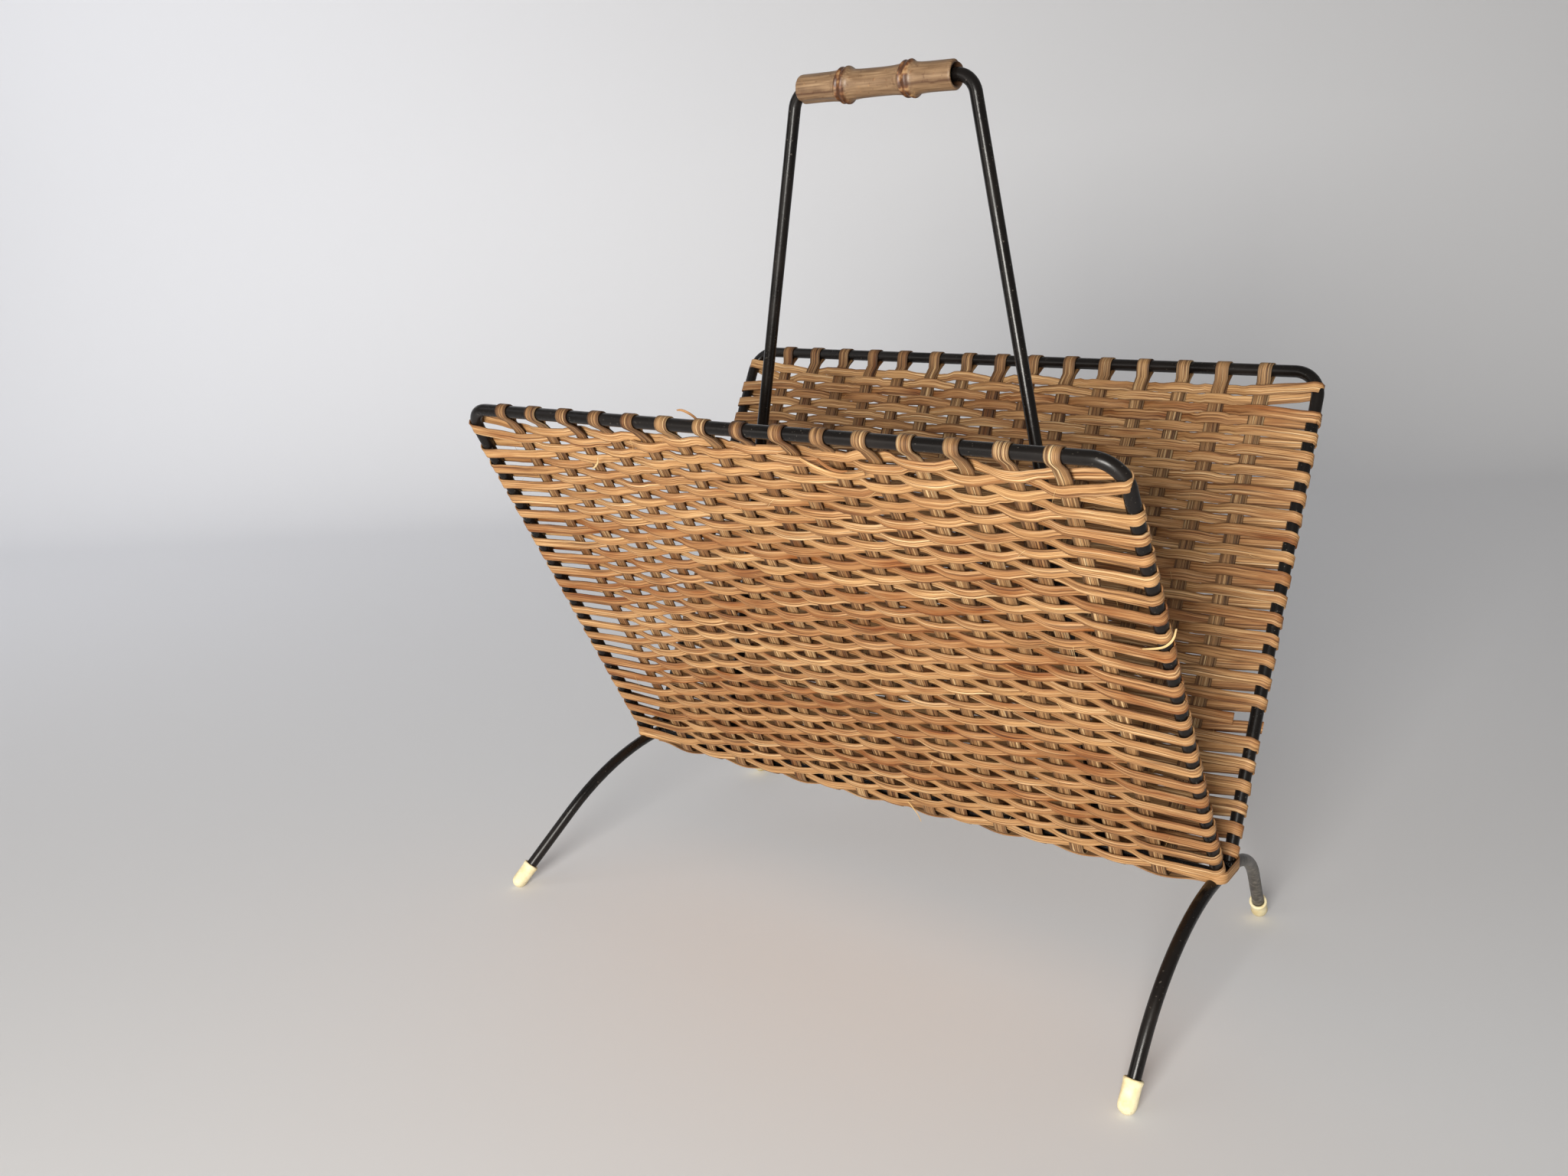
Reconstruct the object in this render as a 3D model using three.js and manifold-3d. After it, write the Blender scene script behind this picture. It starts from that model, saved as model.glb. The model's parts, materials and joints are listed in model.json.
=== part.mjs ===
// A magazine basket of bent steel rod and woven flat cane.
//
// Two rod hoops lean apart as a V and hold a woven panel each. They stand on the crests of two
// leg arches, which a rail joins along the bottom of the V. A handle rises from the rail through
// the middle of the basket, with a length of bamboo threaded loosely on its top. Flat stakes of
// doubled cane hang over both top rods and pass under the rail, and the weavers run between
// them and round the side rods. Each foot wears a rubber tip.
//
// Millimetres. +X runs along the basket to its right, +Y to its rear and +Z up from the floor.
import * as THREE from "three";
import { mergeVertices } from "three/addons/utils/BufferGeometryUtils.js";
import Module from "manifold-3d";

const wasm = await Module();
wasm.setup();

// Gap between pieces that touch
const fit = 0.3;

// Steel rod, the same for hoops, arches, rail and handle
const rodDiameter = 7;
const rodSides = 12;
const bendStep = THREE.MathUtils.degToRad(13);

// Hoops
const topRodHeight = 330;
const topRodSpread = 275;
const hoopTopLength = 400;
const hoopFootLength = 406;
const hoopCornerRadius = 15;

// Leg arches: the legs of a used basket lean a little differently from each other
const archInset = 1.5;
const crestHeight = 79.5;
const legBendRadius = 97;
const legReach = 112.5;
const rearLeftReach = 132;
const frontRightCrestFlat = 11;
const frontLeftLean = 35.5;
const frontRightLean = -4;
const rearLeftLean = 10;
const rearRightLean = -12;

// Handle
const handleTopHeight = 495.8;
const handleTopLength = 111.8;
const handleFootLength = 269;
const handleBendRadius = 12;

// Bamboo grip
const gripLeftEnd = -51.5;
const gripRightEnd = 46.5;
const gripDiameter = 15.8;
const gripWaistDiameter = 14.8;
const gripBore = 12;
const nodeRingDiameter = 20.2;
const leftNodePlace = -22;
const rightNodePlace = 19;
const nodeRingWidth = 1.6;
const nodeSwellDiameter = 17.4;
const nodeSwellLength = 5;
const nodeWallThickness = 2.4;
const gripEdgeRound = 0.5;
const gripSides = 24;

// Rubber tips
const capDiameter = 9.8;
const capLength = 18;
const capLipDiameter = 10.4;
const capLipHeight = 1.4;
const capWorn = 0.8;
const capSides = 16;

// Cane
const caneThickness = 1;
const stakeWidth = 6.4;
const stakeCount = 15;
const lastStakeInset = 30.6;
const loopSplit = 7.6;
const weaverWidth = 6.2;
const rowCount = 46;
const weaveFootGap = 5;
const weaveTopGap = 8;
const sideMargin = 6.1;
const turnCount = 23;
const lowestTurn = 14;
const turnSlant = 2;
const topTurnLift = 6;
const slitLength = 9;
const slitHeight = 3;
const slitColumns = 12;
const slitRows = 6;
const wrapBurial = 1.5;
const wrapSteps = 5;
const loopSides = 10;
const foldSteps = 6;

// What follows from them
const rodRadius = rodDiameter / 2;
const stakeThickness = 2 * caneThickness;
const panelThickness = stakeThickness + 2 * fit + 2 * caneThickness;
const skinMiddle = (panelThickness - caneThickness) / 2;

// A bore whose flats clear a round rod has its corners a little further out.
function cornerRadius(clearRadius, turnPerStep) {
  return clearRadius / Math.cos(turnPerStep / 2);
}

// The stakes' middle layer folds round the rail at this radius, and each panel's plane is
// tangent to it.
const foldRadius = rodRadius + fit + stakeThickness / 2;
const topRise = topRodHeight - crestHeight;
const topOut = topRodSpread / 2;
const topDistance = Math.hypot(topRise, topOut);
const panelLean = Math.atan2(topOut, topRise) - Math.asin(foldRadius / topDistance);
const panelLength = Math.sqrt(topDistance ** 2 - foldRadius ** 2);
const weaveLow = weaveFootGap;
const weaveHigh = panelLength - weaveTopGap;
const rowPitch = (weaveHigh - weaveLow) / rowCount;
const lastStake = Math.min(hoopTopLength, hoopFootLength) / 2 - lastStakeInset;
const stakePitch = (2 * lastStake) / (stakeCount - 1);
const panelHalfWidth = lastStake + sideMargin;
const archSpacing = hoopFootLength - 2 * archInset;

// Materials
const blackEnamel = new THREE.MeshStandardMaterial({ color: 0x1d1815, roughness: 0.42, metalness: 0.1 });
const weaverCane = new THREE.MeshStandardMaterial({ color: 0xc08d58, roughness: 0.62, metalness: 0 });
const stakeCane = new THREE.MeshStandardMaterial({ color: 0x8f6d49, roughness: 0.7, metalness: 0 });
const bamboo = new THREE.MeshStandardMaterial({ color: 0xb08c64, roughness: 0.5, metalness: 0 });
const creamRubber = new THREE.MeshStandardMaterial({ color: 0xebdeb4, roughness: 0.6, metalness: 0 });

const basket = new THREE.Group();

function addPiece(name, geometry, material, parent = basket) {
  const mesh = new THREE.Mesh(geometry, material);
  mesh.name = name;
  parent.add(mesh);
  return mesh;
}

// Closed meshes to solids and back, for cuts and joins
function solidOf(geometry) {
  const bare = geometry.clone();
  bare.deleteAttribute("normal");
  bare.deleteAttribute("uv");
  const merged = mergeVertices(bare);
  return new wasm.Manifold(
    new wasm.Mesh({
      numProp: 3,
      vertProperties: merged.attributes.position.array,
      triVerts: new Uint32Array(merged.index.array),
    }),
  );
}

function geometryOf(solid) {
  const mesh = solid.getMesh();
  const geometry = new THREE.BufferGeometry();
  geometry.setAttribute("position", new THREE.BufferAttribute(new Float32Array(mesh.vertProperties), 3));
  geometry.setIndex(new THREE.BufferAttribute(new Uint32Array(mesh.triVerts), 1));
  geometry.computeVertexNormals();
  return geometry;
}

// Points along a round stretch, from one angle to another, both ends included
function arcPoints(centreX, centreY, radius, fromAngle, toAngle, steps) {
  const points = [];
  for (let i = 0; i <= steps; i++) {
    const angle = fromAngle + ((toAngle - fromAngle) * i) / steps;
    points.push(new THREE.Vector2(centreX + radius * Math.cos(angle), centreY + radius * Math.sin(angle)));
  }
  return points;
}

function circlePoints(radius, sides) {
  return arcPoints(0, 0, radius, 0, 2 * Math.PI, sides).slice(0, sides);
}

// A rod's centreline as a row of stations, so that a swept rod has rings only where it bends
class RodPath extends THREE.Curve {
  constructor(stations) {
    super();
    this.stations = stations;
  }

  getSpacedPoints() {
    return this.stations.map((station) => station.point.clone());
  }

  getTangentAt(share) {
    const index = Math.round(share * (this.stations.length - 1));
    return this.stations[index].tangent.clone();
  }
}

function rodGeometry(stations) {
  return new THREE.ExtrudeGeometry(new THREE.Shape(circlePoints(rodRadius, rodSides)), {
    steps: stations.length - 1,
    extrudePath: new RodPath(stations),
    bevelEnabled: false,
  });
}

// Stations of a rod that runs straight from corner to corner and is bent round at the inner ones
function bentStations(corners, bendRadius) {
  const ways = corners.slice(1).map((corner, i) => corner.clone().sub(corners[i]).normalize());
  const stations = [{ point: corners[0], tangent: ways[0] }];
  for (let i = 1; i < corners.length - 1; i++) {
    const turn = ways[i - 1].angleTo(ways[i]);
    const setback = bendRadius * Math.tan(turn / 2);
    const start = corners[i].clone().addScaledVector(ways[i - 1], -setback);
    const inward = ways[i].clone().addScaledVector(ways[i - 1], -Math.cos(turn)).normalize();
    const centre = start.clone().addScaledVector(inward, bendRadius);
    const steps = Math.ceil(turn / bendStep);
    for (let j = 0; j <= steps; j++) {
      const angle = (turn * j) / steps;
      const point = centre.clone();
      point.addScaledVector(inward, -bendRadius * Math.cos(angle));
      point.addScaledVector(ways[i - 1], bendRadius * Math.sin(angle));
      const tangent = ways[i - 1].clone().multiplyScalar(Math.cos(angle));
      tangent.addScaledVector(inward, Math.sin(angle));
      stations.push({ point, tangent });
    }
  }
  stations.push({ point: corners.at(-1), tangent: ways.at(-1) });
  return stations;
}

// A panel's own frame: X along the basket, Y out of the V and Z up along the slope, from the
// line where the stakes leave the rail. The rear panel is placed so, and the front one is it
// turned half round.
const outDirection = new THREE.Vector3(0, Math.cos(panelLean), -Math.sin(panelLean));
const upDirection = new THREE.Vector3(0, Math.sin(panelLean), Math.cos(panelLean));
const panelFrame = new THREE.Matrix4()
  .makeBasis(new THREE.Vector3(1, 0, 0), outDirection, upDirection)
  .setPosition(outDirection.clone().multiplyScalar(foldRadius).add(new THREE.Vector3(0, 0, crestHeight)));

const rear = new THREE.Group();
const front = new THREE.Group();
front.rotation.z = Math.PI;
basket.add(rear, front);

// Hoops: the side rods end just above the arches' crests, where they are welded
const hoopEndHeight = crestHeight + rodRadius + fit + rodRadius * Math.sin(panelLean);
const tangentHeight = crestHeight - foldRadius * Math.sin(panelLean);
const hoopFootUp = (hoopEndHeight - tangentHeight) / Math.cos(panelLean);

function hoopGeometry() {
  const corners = [
    new THREE.Vector3(-hoopFootLength / 2, 0, hoopFootUp),
    new THREE.Vector3(-hoopTopLength / 2, 0, panelLength),
    new THREE.Vector3(hoopTopLength / 2, 0, panelLength),
    new THREE.Vector3(hoopFootLength / 2, 0, hoopFootUp),
  ];
  return rodGeometry(bentStations(corners, hoopCornerRadius)).applyMatrix4(panelFrame);
}

addPiece("front_hoop", hoopGeometry(), blackEnamel, front);
addPiece("rear_hoop", hoopGeometry(), blackEnamel, rear);

// Where a side rod lies at a height up the slope: its outer face, less its radius, so that a
// strip laid round it clears it in the corner bend too
function sideRodPlace(up) {
  const share = (up - hoopFootUp) / (panelLength - hoopFootUp);
  const straight = THREE.MathUtils.lerp(hoopFootLength, hoopTopLength, share) / 2;
  const outerRadius = hoopCornerRadius + rodRadius;
  const intoBend = Math.max(0, up - (panelLength - hoopCornerRadius));
  return straight - outerRadius + Math.sqrt(outerRadius ** 2 - intoBend ** 2);
}

// One half of an arch in its own plane: flat along the crest, round an arc and straight to the
// floor. The flat, if any, lets the arc start further out.
function legOutline(crestFlat, reach) {
  const centre = new THREE.Vector2(crestFlat, crestHeight - legBendRadius);
  const foot = new THREE.Vector2(reach, 0);
  const toFoot = foot.clone().sub(centre);
  const endAngle = toFoot.angle() + Math.acos(legBendRadius / toFoot.length());
  const steps = Math.ceil((Math.PI / 2 - endAngle) / bendStep);
  const arc = arcPoints(centre.x, centre.y, legBendRadius, Math.PI / 2, endAngle, steps);
  return { arc, foot };
}

// A leg in space. side is -1 on the left and 1 on the right, way is -1 to the front and 1 to the
// rear, and lean is how far its foot stands outside the arch's middle plane.
function legInSpace({ side, way, lean, crestFlat = 0, reach = legReach }) {
  const { arc, foot } = legOutline(crestFlat, reach);
  const place = (flat) =>
    new THREE.Vector3(
      side * (archSpacing / 2 + (lean * (crestHeight - flat.y)) / crestHeight),
      way * flat.x,
      flat.y,
    );
  const points = arc.map(place);
  const footPoint = place(foot);
  const upLeg = points.at(-1).clone().sub(footPoint).normalize();
  return { points, footPoint, upLeg };
}

const legs = {
  front_left: legInSpace({ side: -1, way: -1, lean: frontLeftLean }),
  front_right: legInSpace({ side: 1, way: -1, lean: frontRightLean, crestFlat: frontRightCrestFlat }),
  rear_left: legInSpace({ side: -1, way: 1, lean: rearLeftLean, reach: rearLeftReach }),
  rear_right: legInSpace({ side: 1, way: 1, lean: rearRightLean }),
};

// A cap's round end meets the floor a little way up its sphere, where it has worn flat.
const capRadius = capDiameter / 2;
const capBallHeight = capRadius - capWorn;

function capBallPoint(leg) {
  return leg.footPoint.clone().addScaledVector(leg.upLeg, capBallHeight / leg.upLeg.z);
}

// An arch is one rod with two feet, which end inside the caps.
function archGeometry(frontLeg, rearLeg) {
  const points = [capBallPoint(frontLeg), ...frontLeg.points.toReversed()];
  const rearPoints = [...rearLeg.points, capBallPoint(rearLeg)];
  points.push(...rearPoints.slice(points.at(-1).distanceTo(rearPoints[0]) < fit ? 1 : 0));
  const stations = points.map((point, i) => {
    const before = i > 0 ? point.clone().sub(points[i - 1]).normalize() : new THREE.Vector3();
    const after = i < points.length - 1 ? points[i + 1].clone().sub(point).normalize() : new THREE.Vector3();
    return { point, tangent: before.add(after).normalize() };
  });
  return rodGeometry(stations);
}

addPiece("left_leg_arch", archGeometry(legs.front_left, legs.rear_left), blackEnamel);
addPiece("right_leg_arch", archGeometry(legs.front_right, legs.rear_right), blackEnamel);

// Rubber tips: a domed sleeve with a slightly flared lip, worn flat where it stands
function capGeometry(leg) {
  const boreRadius = cornerRadius(rodRadius + fit, (2 * Math.PI) / capSides);
  const lipRadius = capLipDiameter / 2;
  const dome = arcPoints(0, 0, capRadius, -Math.PI / 2, 0, capSides / 4);
  const top = capLength - capRadius;
  const profile = [
    ...dome,
    new THREE.Vector2(capRadius, top - capLipHeight),
    new THREE.Vector2(lipRadius, top),
    new THREE.Vector2(boreRadius, top),
    new THREE.Vector2(boreRadius, -fit),
    new THREE.Vector2(0, -fit),
  ];
  profile[0].x = 0;
  const geometry = new THREE.LatheGeometry(profile, capSides);
  geometry.applyQuaternion(new THREE.Quaternion().setFromUnitVectors(new THREE.Vector3(0, 1, 0), leg.upLeg));
  geometry.translate(...capBallPoint(leg));
  const ground = new THREE.BoxGeometry(2 * capLength, 2 * capLength, capLength);
  ground.translate(leg.footPoint.x, leg.footPoint.y, -capLength / 2);
  return geometryOf(solidOf(geometry).subtract(solidOf(ground)));
}

for (const [place, leg] of Object.entries(legs)) addPiece("foot_cap_" + place, capGeometry(leg), creamRubber);

// The rail butts against the arches' crests under the V.
const railHalfLength = archSpacing / 2 - rodRadius - fit;

function railGeometry() {
  const ends = [new THREE.Vector3(-railHalfLength, 0, crestHeight), new THREE.Vector3(railHalfLength, 0, crestHeight)];
  return rodGeometry(bentStations(ends, 0));
}

addPiece("bottom_rail", railGeometry(), blackEnamel);

// The handle stands on the rail, its uprights spread towards the rail's ends.
const handleSpread = Math.atan2((handleFootLength - handleTopLength) / 2, handleTopHeight - crestHeight);
const handleFootHeight = crestHeight + rodRadius + fit + rodRadius * Math.sin(handleSpread);

function handleGeometry() {
  const corners = [
    new THREE.Vector3(-handleFootLength / 2, 0, handleFootHeight),
    new THREE.Vector3(-handleTopLength / 2, 0, handleTopHeight),
    new THREE.Vector3(handleTopLength / 2, 0, handleTopHeight),
    new THREE.Vector3(handleFootLength / 2, 0, handleFootHeight),
  ];
  return rodGeometry(bentStations(corners, handleBendRadius));
}

addPiece("handle_rod", handleGeometry(), blackEnamel);

// The grip is a length of bamboo with two nodes. Its walls between the nodes are open to the bore,
// and the node walls are pierced for the rod, on which the grip turns.
function gripGeometry() {
  const radius = gripDiameter / 2;
  const swellRadius = nodeSwellDiameter / 2;
  const ringRadius = nodeRingDiameter / 2;
  const boreRadius = gripBore / 2;
  const rodHoleRadius = cornerRadius(rodRadius + fit, (2 * Math.PI) / gripSides);
  const halfRing = nodeRingWidth / 2;
  const halfWall = nodeWallThickness / 2;
  const outside = [
    [radius - gripEdgeRound, gripLeftEnd],
    [radius, gripLeftEnd + gripEdgeRound],
    [radius, leftNodePlace - halfRing - nodeSwellLength],
    [swellRadius, leftNodePlace - halfRing],
    [ringRadius, leftNodePlace - halfRing / 2],
    [ringRadius, leftNodePlace + halfRing / 2],
    [swellRadius, leftNodePlace + halfRing],
    [gripWaistDiameter / 2, leftNodePlace + halfRing + 2 * nodeSwellLength],
    [gripWaistDiameter / 2, rightNodePlace - halfRing - 2 * nodeSwellLength],
    [swellRadius, rightNodePlace - halfRing],
    [ringRadius, rightNodePlace - halfRing / 2],
    [ringRadius, rightNodePlace + halfRing / 2],
    [swellRadius, rightNodePlace + halfRing],
    [radius, rightNodePlace + halfRing + nodeSwellLength],
    [radius, gripRightEnd - gripEdgeRound],
    [radius - gripEdgeRound, gripRightEnd],
  ];
  const inside = [
    [boreRadius, gripRightEnd],
    [boreRadius, rightNodePlace + halfWall],
    [rodHoleRadius, rightNodePlace + halfWall],
    [rodHoleRadius, rightNodePlace - halfWall],
    [boreRadius, rightNodePlace - halfWall],
    [boreRadius, leftNodePlace + halfWall],
    [rodHoleRadius, leftNodePlace + halfWall],
    [rodHoleRadius, leftNodePlace - halfWall],
    [boreRadius, leftNodePlace - halfWall],
    [boreRadius, gripLeftEnd],
  ];
  const profile = [...outside, ...inside, outside[0]].map(([r, along]) => new THREE.Vector2(r, along));
  return new THREE.LatheGeometry(profile, gripSides).rotateZ(-Math.PI / 2).translate(0, 0, handleTopHeight);
}

addPiece("bamboo_grip", gripGeometry(), bamboo);

// An outline drawn across the basket, extruded along it
const acrossBasket = new THREE.Matrix4().makeBasis(
  new THREE.Vector3(0, 1, 0),
  new THREE.Vector3(0, 0, 1),
  new THREE.Vector3(1, 0, 0),
);

function extrudeAlongBasket(shape, length) {
  const geometry = new THREE.ExtrudeGeometry(shape, { depth: length, bevelEnabled: false });
  return geometry.translate(0, 0, -length / 2).applyMatrix4(acrossBasket);
}

// A point beside the rear panel's middle layer, in the plane across the basket, or its mirror
// image beside the front panel's
function besidePanel(out, up, way = 1) {
  const y = (foldRadius + out) * Math.cos(panelLean) + up * Math.sin(panelLean);
  const z = crestHeight - (foldRadius + out) * Math.sin(panelLean) + up * Math.cos(panelLean);
  return new THREE.Vector2(way * y, z);
}

// Stakes: doubled cane that opens into a loop round each top rod and folds under the rail
const loopBore = cornerRadius(rodRadius + fit, (2 * Math.PI) / loopSides);
const loopRadius = loopBore + caneThickness;

function stakeShape() {
  const half = stakeThickness / 2;
  const splitAngle = Math.atan2(-loopSplit, half) + Math.acos(loopRadius / Math.hypot(loopSplit, half));
  const loop = arcPoints(0, 0, loopRadius, splitAngle, Math.PI - splitAngle, loopSides);
  const beside = (way) => [
    besidePanel(half, 0, way),
    besidePanel(half, panelLength - loopSplit, way),
    ...loop.map((point) => besidePanel(point.x, panelLength + point.y, way)),
    besidePanel(-half, panelLength - loopSplit, way),
    besidePanel(-half, 0, way),
  ];
  const innerRadius = cornerRadius(rodRadius + fit, (Math.PI - 2 * panelLean) / foldSteps);
  const fold = (radius) =>
    arcPoints(0, crestHeight, radius, -panelLean, panelLean - Math.PI, foldSteps).slice(1, foldSteps);
  const shape = new THREE.Shape([
    ...beside(1),
    ...fold(innerRadius),
    ...beside(-1).toReversed(),
    ...fold(foldRadius + half).toReversed(),
  ]);
  for (const way of [-1, 1]) {
    const centre = besidePanel(0, panelLength, way);
    const hole = circlePoints(loopBore, loopSides).map((point) => point.add(centre));
    shape.holes.push(new THREE.Path(hole));
  }
  return shape;
}

const stakeGeometry = extrudeAlongBasket(stakeShape(), stakeWidth);
for (let i = 0; i < stakeCount; i++) {
  const name = "stake_" + String(i + 1).padStart(2, "0");
  addPiece(name, stakeGeometry, stakeCane).position.x = i * stakePitch - lastStake;
}

// A strip of cane swept through stations that each give its middle and which way it faces, in
// the panel's frame. It is as wide as a weaver, up the slope.
function stripGeometry(stations) {
  const corners = stations.flatMap(({ middle, facing }) =>
    [
      [1, -1],
      [1, 1],
      [-1, 1],
      [-1, -1],
    ].map(([face, edge]) => {
      const corner = middle.clone().addScaledVector(facing, (face * caneThickness) / 2);
      corner.z += (edge * weaverWidth) / 2;
      return corner;
    }),
  );
  const triangles = [];
  for (let i = 0; i < stations.length - 1; i++) {
    for (let j = 0; j < 4; j++) {
      const a = 4 * i + j;
      const b = 4 * i + ((j + 1) % 4);
      triangles.push(a, b, a + 4, b, b + 4, a + 4);
    }
  }
  const last = 4 * (stations.length - 1);
  triangles.push(0, 2, 1, 0, 3, 2, last, last + 1, last + 2, last, last + 2, last + 3);
  const geometry = new THREE.BufferGeometry().setFromPoints(corners);
  geometry.setIndex(triangles);
  return geometry;
}

// A weaver's turn round a side rod: it leaves the outer skin on one row, goes round the rod at a
// slight slant and comes back to the inner skin on the next row.
const wrapMiddleRadius = cornerRadius(rodRadius + fit, Math.PI / wrapSteps) + caneThickness / 2;

function wrapGeometry(side, turnHeight, lift) {
  const stations = [];
  const addStation = (x, out, up, facingX, facingOut) =>
    stations.push({
      middle: new THREE.Vector3(side * x, out, up),
      facing: new THREE.Vector3(side * facingX, facingOut, 0).normalize(),
    });
  const start = panelHalfWidth - wrapBurial;
  addStation(start, skinMiddle, turnHeight - rowPitch / 2, 0, 1);
  for (let i = 0; i <= wrapSteps; i++) {
    const angle = Math.PI / 2 - (Math.PI * i) / wrapSteps;
    const up = turnHeight + lift + turnSlant * (i / wrapSteps - 1 / 2);
    const x = sideRodPlace(up - weaverWidth / 2) + wrapMiddleRadius * Math.cos(angle);
    const out = wrapMiddleRadius * Math.sin(angle);
    addStation(x, out, up, Math.cos(angle), Math.sin(angle));
  }
  addStation(start, -skinMiddle, turnHeight + rowPitch / 2, 0, -1);
  return stripGeometry(side > 0 ? stations : stations.toReversed());
}

// A woven panel: skins before and behind the stakes, joined between them, with a channel for
// each stake, a comb of turns round the side rods and slits where the light comes through. The
// top turn is drawn up into the corner of the hoop.
function panelWeaveGeometry() {
  const height = weaveHigh - weaveLow;
  const slab = new THREE.BoxGeometry(2 * panelHalfWidth, panelThickness, height);
  let weave = solidOf(slab.translate(0, 0, weaveLow + height / 2));
  for (let i = 0; i < stakeCount; i++) {
    const channel = new THREE.BoxGeometry(stakeWidth + 2 * fit, stakeThickness + 2 * fit, 2 * panelLength);
    weave = weave.subtract(solidOf(channel.translate(i * stakePitch - lastStake, 0, 0)));
  }
  for (let i = 0; i < turnCount; i++) {
    const lift = i === turnCount - 1 ? topTurnLift : 0;
    const turnHeight = THREE.MathUtils.lerp(lowestTurn, weaveHigh - rowPitch, i / (turnCount - 1));
    for (const side of [-1, 1]) weave = weave.add(solidOf(wrapGeometry(side, turnHeight, lift)));
  }
  for (let i = 0; i < slitColumns; i++) {
    for (let j = 0; j < slitRows; j++) {
      const slit = new THREE.BoxGeometry(slitLength, 2 * panelThickness, slitHeight);
      const up = weaveLow + (height * (j + 1)) / (slitRows + 1);
      weave = weave.subtract(solidOf(slit.translate((i - (slitColumns - 1) / 2) * stakePitch, 0, up)));
    }
  }
  return geometryOf(weave).applyMatrix4(panelFrame);
}

const panelWeave = panelWeaveGeometry();
addPiece("front_weave", panelWeave, weaverCane, front);
addPiece("rear_weave", panelWeave.clone(), weaverCane, rear);

// The weave goes on under the fold, as one skin outside the stakes.
function bottomWeaveGeometry() {
  const innerRadius = cornerRadius(foldRadius + stakeThickness / 2 + fit, (Math.PI - 2 * panelLean) / foldSteps);
  const outerRadius = innerRadius + caneThickness;
  const top = weaveLow - fit;
  const fold = (radius) => arcPoints(0, crestHeight, radius, -panelLean, panelLean - Math.PI, foldSteps);
  const shape = new THREE.Shape([
    besidePanel(outerRadius - foldRadius, top),
    besidePanel(innerRadius - foldRadius, top),
    ...fold(innerRadius),
    besidePanel(innerRadius - foldRadius, top, -1),
    besidePanel(outerRadius - foldRadius, top, -1),
    ...fold(outerRadius).toReversed(),
  ]);
  return extrudeAlongBasket(shape, 2 * railHalfLength);
}

addPiece("bottom_weave", bottomWeaveGeometry(), weaverCane);

// The origin is on the floor, under the middle of the whole outline.
basket.updateMatrixWorld(true);
const middle = new THREE.Box3().setFromObject(basket, true).getCenter(new THREE.Vector3());
basket.position.set(-middle.x, -middle.y, 0);

export default basket;
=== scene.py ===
"""A magazine basket: black enamelled steel rod, woven flat cane and a bamboo grip.

Pieces are drawn in millimetres from the middle of the frame on the floor, with +X along the
basket to its right, +Y to its rear and +Z up, and are then brought to metres in the model's frame.
"""

import bpy
import json
import math
from mathutils import Matrix, Vector, noise

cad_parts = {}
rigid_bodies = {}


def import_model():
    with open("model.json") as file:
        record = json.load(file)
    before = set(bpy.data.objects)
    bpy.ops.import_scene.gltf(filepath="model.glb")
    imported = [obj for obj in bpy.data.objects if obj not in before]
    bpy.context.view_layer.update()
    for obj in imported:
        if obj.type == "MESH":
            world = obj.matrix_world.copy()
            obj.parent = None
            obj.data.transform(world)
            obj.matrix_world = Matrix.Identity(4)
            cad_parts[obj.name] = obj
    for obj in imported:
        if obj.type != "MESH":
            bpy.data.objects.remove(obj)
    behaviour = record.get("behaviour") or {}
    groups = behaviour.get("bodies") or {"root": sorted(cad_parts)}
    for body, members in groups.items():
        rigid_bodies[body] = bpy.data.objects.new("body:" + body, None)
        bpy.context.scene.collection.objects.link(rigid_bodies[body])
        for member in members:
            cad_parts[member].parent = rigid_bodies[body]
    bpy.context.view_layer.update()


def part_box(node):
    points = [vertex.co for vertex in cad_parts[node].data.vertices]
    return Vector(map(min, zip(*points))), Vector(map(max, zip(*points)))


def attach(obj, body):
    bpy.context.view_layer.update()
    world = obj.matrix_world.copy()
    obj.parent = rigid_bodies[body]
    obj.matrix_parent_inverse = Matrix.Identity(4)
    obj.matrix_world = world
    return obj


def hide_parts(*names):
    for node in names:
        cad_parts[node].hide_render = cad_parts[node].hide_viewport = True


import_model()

# The two hoops
# Each is one length of 7 mm mild steel rod, drawn, straightened and bent cold round a former into
# an inverted U. Brush-applied black enamel gives it a deep, slightly brown black with soft gloss.
MM = 0.001
rail_low, rail_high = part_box("bottom_rail")
rail_middle = (rail_low + rail_high) / 2 / MM
ROD_RADIUS = (rail_high.z - rail_low.z) / 2 / MM
CREST_HEIGHT = rail_middle.z
TOP_ROD_HEIGHT = 330
TOP_ROD_SPREAD = 275
HOOP_TOP_LENGTH = 400
HOOP_FOOT_LENGTH = 406
HOOP_CORNER_RADIUS = 15
STAKE_THICKNESS = 2
TOUCH_GAP = 0.3
ARC_STEP = math.radians(5)

# The stakes fold round the rail, and each panel's plane is tangent to that fold.
FOLD_RADIUS = ROD_RADIUS + TOUCH_GAP + STAKE_THICKNESS / 2
TOP_OUT = TOP_ROD_SPREAD / 2
TOP_RISE = TOP_ROD_HEIGHT - CREST_HEIGHT
TOP_DISTANCE = math.hypot(TOP_RISE, TOP_OUT)
PANEL_LEAN = math.atan2(TOP_OUT, TOP_RISE) - math.asin(FOLD_RADIUS / TOP_DISTANCE)
PANEL_LENGTH = math.sqrt(TOP_DISTANCE**2 - FOLD_RADIUS**2)
FOOT_RISE = ROD_RADIUS + TOUCH_GAP + (ROD_RADIUS + FOLD_RADIUS) * math.sin(PANEL_LEAN)
HOOP_FOOT_UP = FOOT_RISE / math.cos(PANEL_LEAN)


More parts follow.
